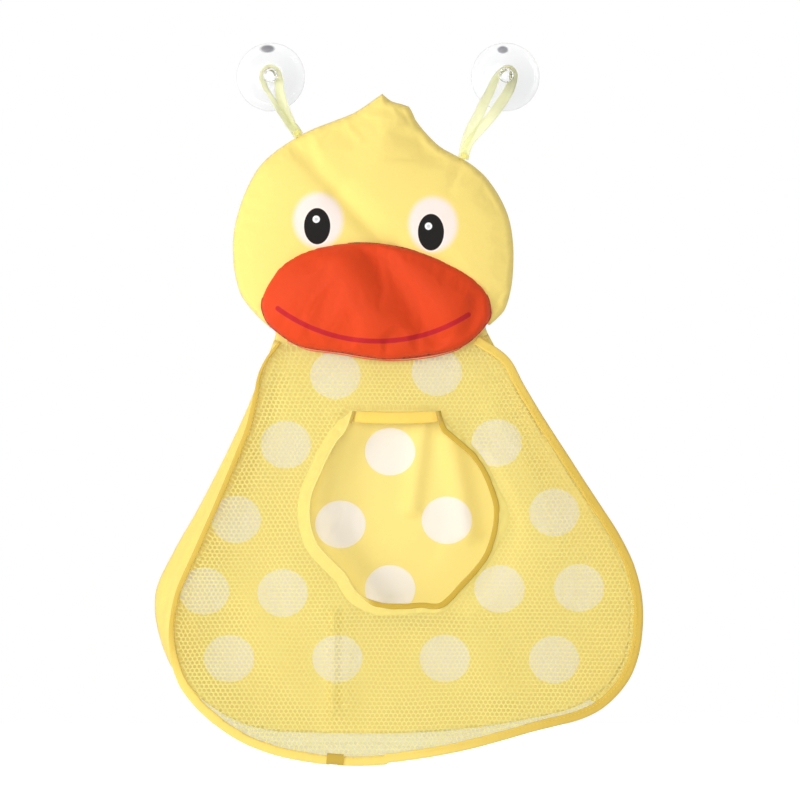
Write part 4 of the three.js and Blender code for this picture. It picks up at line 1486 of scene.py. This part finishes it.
class TOYBAG_OT_net(bpy.types.Operator):
    """Knit the net front out of hexagons, cut to the bag's outline and hole"""

    bl_idname = "toybag.net"
    bl_label = "Net"

    def execute(self, context):
        coarse, fine = 2 * MM, 0.7 * MM
        outline, hole = (
            evened([*smooth_loop(loop, coarse), loop[0]], fine)[:-1]
            for loop in (net_outline, hole_outline)
        )
        middle = (min(p.x for p in hole) + max(p.x for p in hole)) / 2
        finish = strand_finish("net yarn", colours().net)
        for side, name in ((-1, "net_front_left"), (1, "net_front_right")):
            piece = self.half(name, outline, hole, middle, side, finish)
            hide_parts("front_net")
        return {"FINISHED"}

    def half(self, name, outline, hole, middle, side, finish):
        """One side of the net: its cells are cut out, and their borders stay."""
        pitch, strand = sizes().net_pitch, sizes().net_strand
        bm = hex_cells(pitch, net_low, net_high)
        whole = pitch * pitch * math.sqrt(3) / 2
        sliver, cuttable = 0.02 * whole, 0.3 * whole
        centres = np.array([f.calc_center_median().xz for f in bm.faces])
        keep = are_inside(centres, outline) & ~are_inside(centres, hole)
        keep &= side * (centres[:, 0] - middle) >= 0
        bm.faces.ensure_lookup_table()
        spare = [f for f, kept in zip(bm.faces, keep) if not kept]
        bmesh.ops.delete(bm, geom=spare, context="FACES")
        border = tree_of([*outline, *hole])
        near, settled = pitch * 1.2, 8 * MM  # from the border
        for vert in bm.verts:
            spot, _, away = border.find(vert.co)
            if vert.is_boundary and away < near:
                vert.co = spot
            else:
                vert.co += strayed(vert.co) * eased(away / settled)
        bmesh.ops.remove_doubles(bm, verts=bm.verts, dist=strand / 2)
        slivers = [f for f in bm.faces if f.calc_area() < sliver]
        bmesh.ops.delete(bm, geom=slivers, context="FACES")
        cells = [f for f in bm.faces if f.calc_area() > cuttable]
        inset = strand / 2 / math.sin(math.radians(60))
        bmesh.ops.inset_individual(bm, faces=cells, thickness=inset, use_even_offset=False)
        bmesh.ops.delete(bm, geom=cells, context="FACES")
        bm.normal_update()
        if sum(f.normal.y for f in bm.faces) > 0:
            bmesh.ops.reverse_faces(bm, faces=bm.faces)
        thickness = sizes().net_thickness
        bmesh.ops.solidify(bm, geom=bm.faces[:], thickness=thickness)
        for vert in bm.verts:
            vert.co.y += net_depth(vert.co.x, vert.co.z)
            vert.co = shouldered(vert.co)
        piece = new_piece(name, bm, finish, "bag", CRISP)
        return piece


# Tapes


class TOYBAG_OT_tapes(bpy.types.Operator):
    """Bind the net's edge with folded tape, its lap, its stitches and the lip"""

    bl_idname = "toybag.tapes"
    bl_label = "Tapes"

    def execute(self, context):
        path = side_path()
        joint = self.joint_step(path)
        cut = 1  # steps from the joint to each tape's end, under the lap
        # The left tape's finish carries painted shade down the left side, the right one's up the
        # right side.
        warm = strip_cloth("tape cloth", colours().tape, print_on=self.left_shade)
        right = strip_cloth("right tape cloth", colours().tape, print_on=self.right_shade)
        left_tape = self.binding("left_binding", path[: joint - cut], warm)
        right_tape = self.binding("right_binding", path[joint + cut :], right)
        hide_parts("net_binding_left")
        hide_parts("net_binding_right")
        self.lap(path, joint)
        self.sewing(path)
        self.lip()
        return {"FINISHED"}

    def joint_step(self, path):
        """The step where the two tapes meet, under the lap."""
        low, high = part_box("binding_lap")
        beside = Vector((3.6 * MM, 0, 0))
        return nearest_step(path, (low + high) / 2 - beside)

    def left_shade(self, cloth, tone):
        """The tape's painted shade down the left side, for the shadow of its seam."""
        # Painted shade: the tape is darker above its wide stretch at the bottom.
        share = cloth.along("Z", -440 * MM, -392 * MM)
        return cloth.mixed(share, tone, linear(colours().tape_shade, 0.96))

    def right_shade(self, cloth, tone):
        """The tape's painted shade, darker towards the right side."""
        # Painted shade: the tape darkens from the bag's middle towards its right end.
        share = cloth.along("X", 0, 150 * MM)
        return cloth.mixed(share, tone, linear(colours().tape_shade))

    def binding(self, name, path, finish):
        """One folded tape. Its width follows the side that it binds."""
        section = rounded_section(1.0, sizes().tape_thickness, 18)
        right_shift, left_shift = -0.3 * MM, 0.8 * MM  # off the net's edge

        def edge(i):
            shift = left_shift if path[i].x < 0 else right_shift
            return tape_width(path[i]) / 2 + shift

        def reach(i):
            uneven = 1 + 0.07 * noise.noise(path[i] * 90)
            return tape_width(path[i]) * uneven

        bm = tape(moved_out(path, edge, False), section, net_depth, reach)
        for vert in bm.verts:
            vert.co.y += 0.35 * MM * noise.noise(vert.co * 130)
        return new_piece(name, bm, finish, "bag")

    def lap(self, path, joint):
        """The folded end that covers the joint."""
        reach = 3  # steps to each side of the joint
        over = path[joint - reach : joint + reach + 1]
        width = sizes().base_tape + 1.0 * MM
        thickness = sizes().tape_thickness + 1.4 * MM
        section = rounded_section(width, thickness, 18, 0.4)
        outer = moved_out(over, width / 2 - 0.1 * MM, False)
        bm = tape(outer, section, net_depth)
        finish = strip_cloth("lap cloth", colours().tape, print_on=self.shaded)
        piece = new_piece("tape_lap", bm, finish, "bag", CRISP)
        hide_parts("binding_lap")

    def shaded(self, cloth, tone):
        """The lap's even colour, darker than the tape's."""
        shade = (0.81, 0.77, 0.58)
        return linear([c * s for c, s in zip(colours().tape, shade)])

    def sewing(self, path):
        """The seam's stitches along the tape's inner edge."""
        lift = sizes().tape_thickness / 2 + 0.08 * MM
        inner = moved_out(path, lambda i: -tape_width(path[i]) * 0.24, False)
        bm = stitches(inner, lambda x, z: net_depth(x, z) - lift)
        finish = stitched("seam thread", colours().thread)
        new_piece("binding_stitches", bm, finish, "bag")

    def lip(self):
        """The orange tape on the net's top edge, with a thin pale tube along its fold as a
        painted highlight.
        """
        run = net_top if net_top[0].x > net_top[-1].x else net_top[::-1]
        path = [shouldered(Vector((p.x, 0, p.z))) for p in curved(run, 2 * MM)][1:-2]
        width = sizes().lip
        section = rounded_section(width, 3 * MM, 16)
        raised = 0.8 * MM  # above the net's edge
        steps, tapered = len(path) - 1, 7

        def reach(i):
            return 0.4 + 0.6 * eased(min(i, steps - i) / tapered)

        bm = tape(moved_out(path, width / 2 + raised, False), section, net_depth, reach)
        finish = strip_cloth("lip cloth", colours().bill, gloss=0.5)
        piece = new_piece("mouth_lip_tape", bm, finish, "bag")
        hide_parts("mouth_lip")
        # Painted highlight: a thin pale tube along the lip's fold.
        highlight_orange = (0.98, 0.66, 0.5)
        pale = stitched("lip fold highlight", highlight_orange)

        def low_edge(i):
            return raised + width / 2 - (width - 1.0 * MM) * reach(i)

        fold = moved_out(path, low_edge, False)
        bm = tape(fold, round_section(0.45 * MM, 6), lambda x, z: net_depth(x, z) - 1.7 * MM)
        new_piece("mouth_lip_highlight", bm, pale, "bag")


# Belly


class TOYBAG_OT_belly(bpy.types.Operator):
    """Sew the belly hole's plain casing, its piping, its hem and the elastic"""

    bl_idname = "toybag.belly"
    bl_label = "Belly"

    edge_inset = 2.0 * MM  # the opening's edge lies this far inside the net's

    def execute(self, context):
        run = hole_run if hole_run[0].x < hole_run[-1].x else hole_run[::-1]
        path = [Vector((p.x, 0, p.z)) for p in curved(run, 1.6 * MM)]
        self.casing(path)
        self.piping(path)
        self.hem()
        self.elastic()
        return {"FINISHED"}

    def casing(self, path):
        """The plain band: rolled at the opening and flat on the net, gathered
        by its elastic most of all near the hem's right end."""
        wide = sizes().casing
        section = [(s * wide, t * MM) for s, t in CASING_CORNERS]
        inner = moved_out(path, -self.edge_inset, False)
        steps = len(inner) - 1
        taper = 14 * MM / run_length(inner)

        left, right = min(p.x for p in inner), max(p.x for p in inner)

        def reach(i):
            side = (inner[i].x - left) / (right - left)
            bulge = math.exp(-(((inner[i].z / MM + 318) / 13) ** 2)) * eased(3 * side - 2)
            narrower = 1 - 0.45 * eased(1.5 * side - 0.25) + 0.55 * bulge
            return narrower * (0.3 + 0.7 * eased(min(i, steps - i) / steps / taper))

        bm = tape(inner, self.rounded(section), net_depth, reach)
        opening = tree_of(inner)
        for vert in bm.verts:
            _, i, away = opening.find((vert.co.x, 0, vert.co.z))
            gather = 0.22 + 0.5 * eased((i / steps - 0.82) / 0.16)
            gather += 0.35 * eased((0.08 - i / steps) / 0.08)
            ripple = math.sin(i * 0.95 + 1.7 * noise.noise(Vector((i * 0.09, 0, 2))))
            fade = math.sin(math.pi * min(1.0, away / wide)) ** 3
            vert.co.y -= gather * ripple * fade * MM
        finish = strip_cloth("casing cloth", colours().casing, thin=0.3)
        new_piece("belly_casing", bm, finish, "bag", math.radians(50))

    def rounded(self, corners):
        """A section with its corners rounded, evenly spaced."""
        loop = [Vector((s, 0, t)) for s, t in corners]
        return [(p.x, p.z) for p in smooth_loop(loop, 1.1 * MM)]

    def piping(self, path):
        """The thin edge that outlines the opening, painted dark with shade from its lower left
        on.
        """
        pale_end, dark_start = -24 * MM, -8 * MM

        def darkness(i):
            return eased((path[i].x - pale_end) / (dark_start - pale_end))

        def reach(i):
            uneven = 1 + 0.12 * noise.noise(path[i] * 110)
            return uneven * (0.3 + 0.7 * darkness(i))

        def inset(i):
            return -self.edge_inset - (0.2 + 1.4 * darkness(i)) * MM

        inner = moved_out(path, inset, False)

        def shaded(cloth, tone):
            # Painted shade: the piping takes the casing's colour on its left and darkens to the
            # piping shade colour further right.
            dark = cloth.along("X", pale_end, dark_start)
            return cloth.mixed(dark, linear(colours().casing, 0.93), tone)

        wide = sizes().piping
        section = [(wide + out, front) for out, front in rounded_section(wide, 2.2 * MM)]
        bm = tape(inner, section, lambda x, z: net_depth(x, z) - 1.0 * MM, reach)
        finish = strip_cloth("piping cloth", colours().rim, print_on=shaded)
        piece = new_piece("belly_piping", bm, finish, "bag")
        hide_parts("belly_rim")

    def hem(self):
        """The straight casing over the opening, puffed between its corners."""
        low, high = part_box("belly_hem")
        middle, half = (low + high) / 2, (high - low) / 2
        steps, around = 44, 20

        def place_at(u, v):
            angle = math.pi + 2 * math.pi * v
            c, s = math.cos(angle), math.sin(angle)
            up = math.copysign(abs(s) ** 0.6, s) * half.z
            puff = math.copysign(abs(c) ** 0.7, c) * half.y
            x = low.x + (high.x - low.x) * u
            gather = 0.3 * noise.noise(Vector((u * 16, c, s))) * MM
            sag = 1.2 * MM * (2 * u - 1) ** 2
            tuck = 1 - 0.35 * eased(1 - 12 * min(u, 1 - u))
            y = net_depth(x, middle.z) - 0.4 * MM - puff * tuck - gather
            return Vector((x, y, middle.z + up * (0.75 + 0.25 * tuck) + sag - 0.6 * MM))

        bm = closed_up(patch(steps, around, place_at))
        finish = woven("hem cloth", colours().hem)
        piece = new_piece("belly_hem_casing", bm, finish, "bag")
        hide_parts("belly_hem")

    def elastic(self):
        """The elastic's ends, which show at the hem's corners."""
        low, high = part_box("belly_elastic")
        middle = (low + high) / 2
        tall, tail = high.z - low.z, 2.4 * MM
        bm = bmesh.new()
        for x, tilt in ((low.x + tail / 4, 0.3), (high.x - tail / 4, -0.3)):
            y = net_depth(x, middle.z) - 2.3 * MM
            spot = Matrix.Translation((x, y, middle.z)) @ Matrix.Rotation(tilt, 4, "Y")
            size = Matrix.Diagonal((tail, 0.8 * MM, tall + 2.6 * MM, 1))
            bmesh.ops.create_cube(bm, size=1, matrix=spot @ size)
        bmesh.ops.bevel(
            bm,
            geom=bm.edges[:],
            offset=0.3 * MM,
            affect="EDGES",
            segments=3,
            profile=0.5,
            material=-1,
        )
        finish = ribbed("elastic", colours().elastic)
        piece = new_piece("belly_elastic_ends", bm, finish, "bag")
        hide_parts("belly_elastic")


# Stage


class TOYBAG_OT_stage(bpy.types.Operator):
    """Set up the floor, the soft light, the white surroundings and the camera"""

    bl_idname = "toybag.stage"
    bl_label = "Stage"

    def execute(self, context):
        self.floor()
        self.surroundings(context.scene)
        self.lamp("left lamp", Vector((-1.6, -1.2, 0.1)), 20)
        self.lamp("front lamp", Vector((-0.35, -2.3, 0.15)), 17)
        self.camera(context.scene)
        context.scene.view_settings.view_transform = "Standard"
        return {"FINISHED"}

    def floor(self):
        """A pale floor below the bag, which glows a little where it is seen."""
        below = 90 * MM
        side = 1.6
        bm = bmesh.new()
        bmesh.ops.create_grid(bm, x_segments=8, y_segments=8, size=side)
        bmesh.ops.translate(bm, verts=bm.verts, vec=(0, 0, cad_box[0].z - below))
        finish = Finish("pale floor")
        shown = finish.add("LightPath").outputs["Is Camera Ray"]
        pale = linear(colours().floor)
        tone = finish.mixed(finish.mottled(0.6), linear(colours().floor, 0.98), pale)
        finish.surface(
            Base_Color=tone,
            Roughness=0.9,
            Emission_Color=(1, 1, 1, 1),
            Emission_Strength=finish.calc("MULTIPLY", shown, 0.5),
        )
        new_object("floor", bm, finish.material)

    def surroundings(self, scene):
        """White where it is seen, and softer as a light, most of all in front."""
        front, rear = 0.42, 1.0
        scene.world = bpy.data.worlds.new("white studio")
        sky = Nodes(scene.world)
        path = sky.add("LightPath").outputs
        seen = path["Is Camera Ray"]
        for name in ("Is Glossy Ray", "Is Transmission Ray"):
            seen = sky.calc("MAXIMUM", seen, path[name])
        way = sky.add("TexCoord").outputs["Generated"]
        to_rear = sky.add("SeparateXYZ", {0: way}).outputs["Y"]
        ends = {"From Min": -0.1, "From Max": 0.3, "To Min": front, "To Max": rear}
        soft = sky.add("MapRange", {"Value": to_rear, **ends}).outputs["Result"]
        strength = sky.add("MapRange", {"Value": seen, "To Min": soft, "To Max": 1.0})
        background = sky.tree.nodes["Background"]
        sky.put(background.inputs["Color"], (1, 1, 1, 1))
        sky.put(background.inputs["Strength"], strength.outputs["Result"])

    def lamp(self, name, spot, power, size=0.8):
        """A wide soft lamp that points at the bag."""
        light = bpy.data.lights.new(name, "AREA")
        light.shape = "SQUARE"
        light.size = size
        light.energy = power
        lamp = bpy.data.objects.new(name, light)
        lamp.location = spot
        aim = PICTURE_MIDDLE - lamp.location
        lamp.rotation_euler = aim.to_track_quat("-Z", "Y").to_euler()
        bpy.context.scene.collection.objects.link(lamp)

    def camera(self, scene):
        """Straight in front, from far enough away to look flat."""
        data = bpy.data.cameras.new("camera")
        data.lens = LENS
        data.sensor_width = SENSOR
        data.clip_end = 50
        camera = bpy.data.objects.new("camera", data)
        away = PICTURE_WIDTH * LENS / SENSOR
        camera.location = PICTURE_MIDDLE - Vector((0, away, 0))
        camera.rotation_euler = (math.pi / 2, 0, 0)
        scene.collection.objects.link(camera)
        scene.camera = camera


STEPS = (
    TOYBAG_OT_stage,
    TOYBAG_OT_suction_cups,
    TOYBAG_OT_ribbons,
    TOYBAG_OT_back,
    TOYBAG_OT_gussets,
    TOYBAG_OT_net,
    TOYBAG_OT_tapes,
    TOYBAG_OT_belly,
    TOYBAG_OT_head,
    TOYBAG_OT_bill,
)


class TOYBAG_PT_panel(bpy.types.Panel):
    """The bag's making, step by step"""

    bl_label = "Duck Bath Toy Bag"
    bl_idname = "TOYBAG_PT_panel"
    bl_space_type = "VIEW_3D"
    bl_region_type = "UI"
    bl_category = "Toy Bag"

    def draw(self, context):
        for step in STEPS:
            self.layout.operator(step.bl_idname)
        for group in (sizes(), colours()):
            box = self.layout.box()
            for name in group.__annotations__:
                box.prop(group, name)


CLASSES = (ToyBagSizes, ToyBagColours, *STEPS, TOYBAG_PT_panel)


def register():
    for kind in CLASSES:
        bpy.utils.register_class(kind)
    bpy.types.Scene.toy_bag_sizes = PointerProperty(type=ToyBagSizes)
    bpy.types.Scene.toy_bag_colours = PointerProperty(type=ToyBagColours)


def unregister():
    del bpy.types.Scene.toy_bag_colours
    del bpy.types.Scene.toy_bag_sizes
    for kind in reversed(CLASSES):
        bpy.utils.unregister_class(kind)


def main():
    noise.seed_set(SEED)
    register()
    for step in STEPS:
        getattr(bpy.ops.toybag, step.bl_idname.split(".")[1])()


if __name__ == "__main__":
    main()
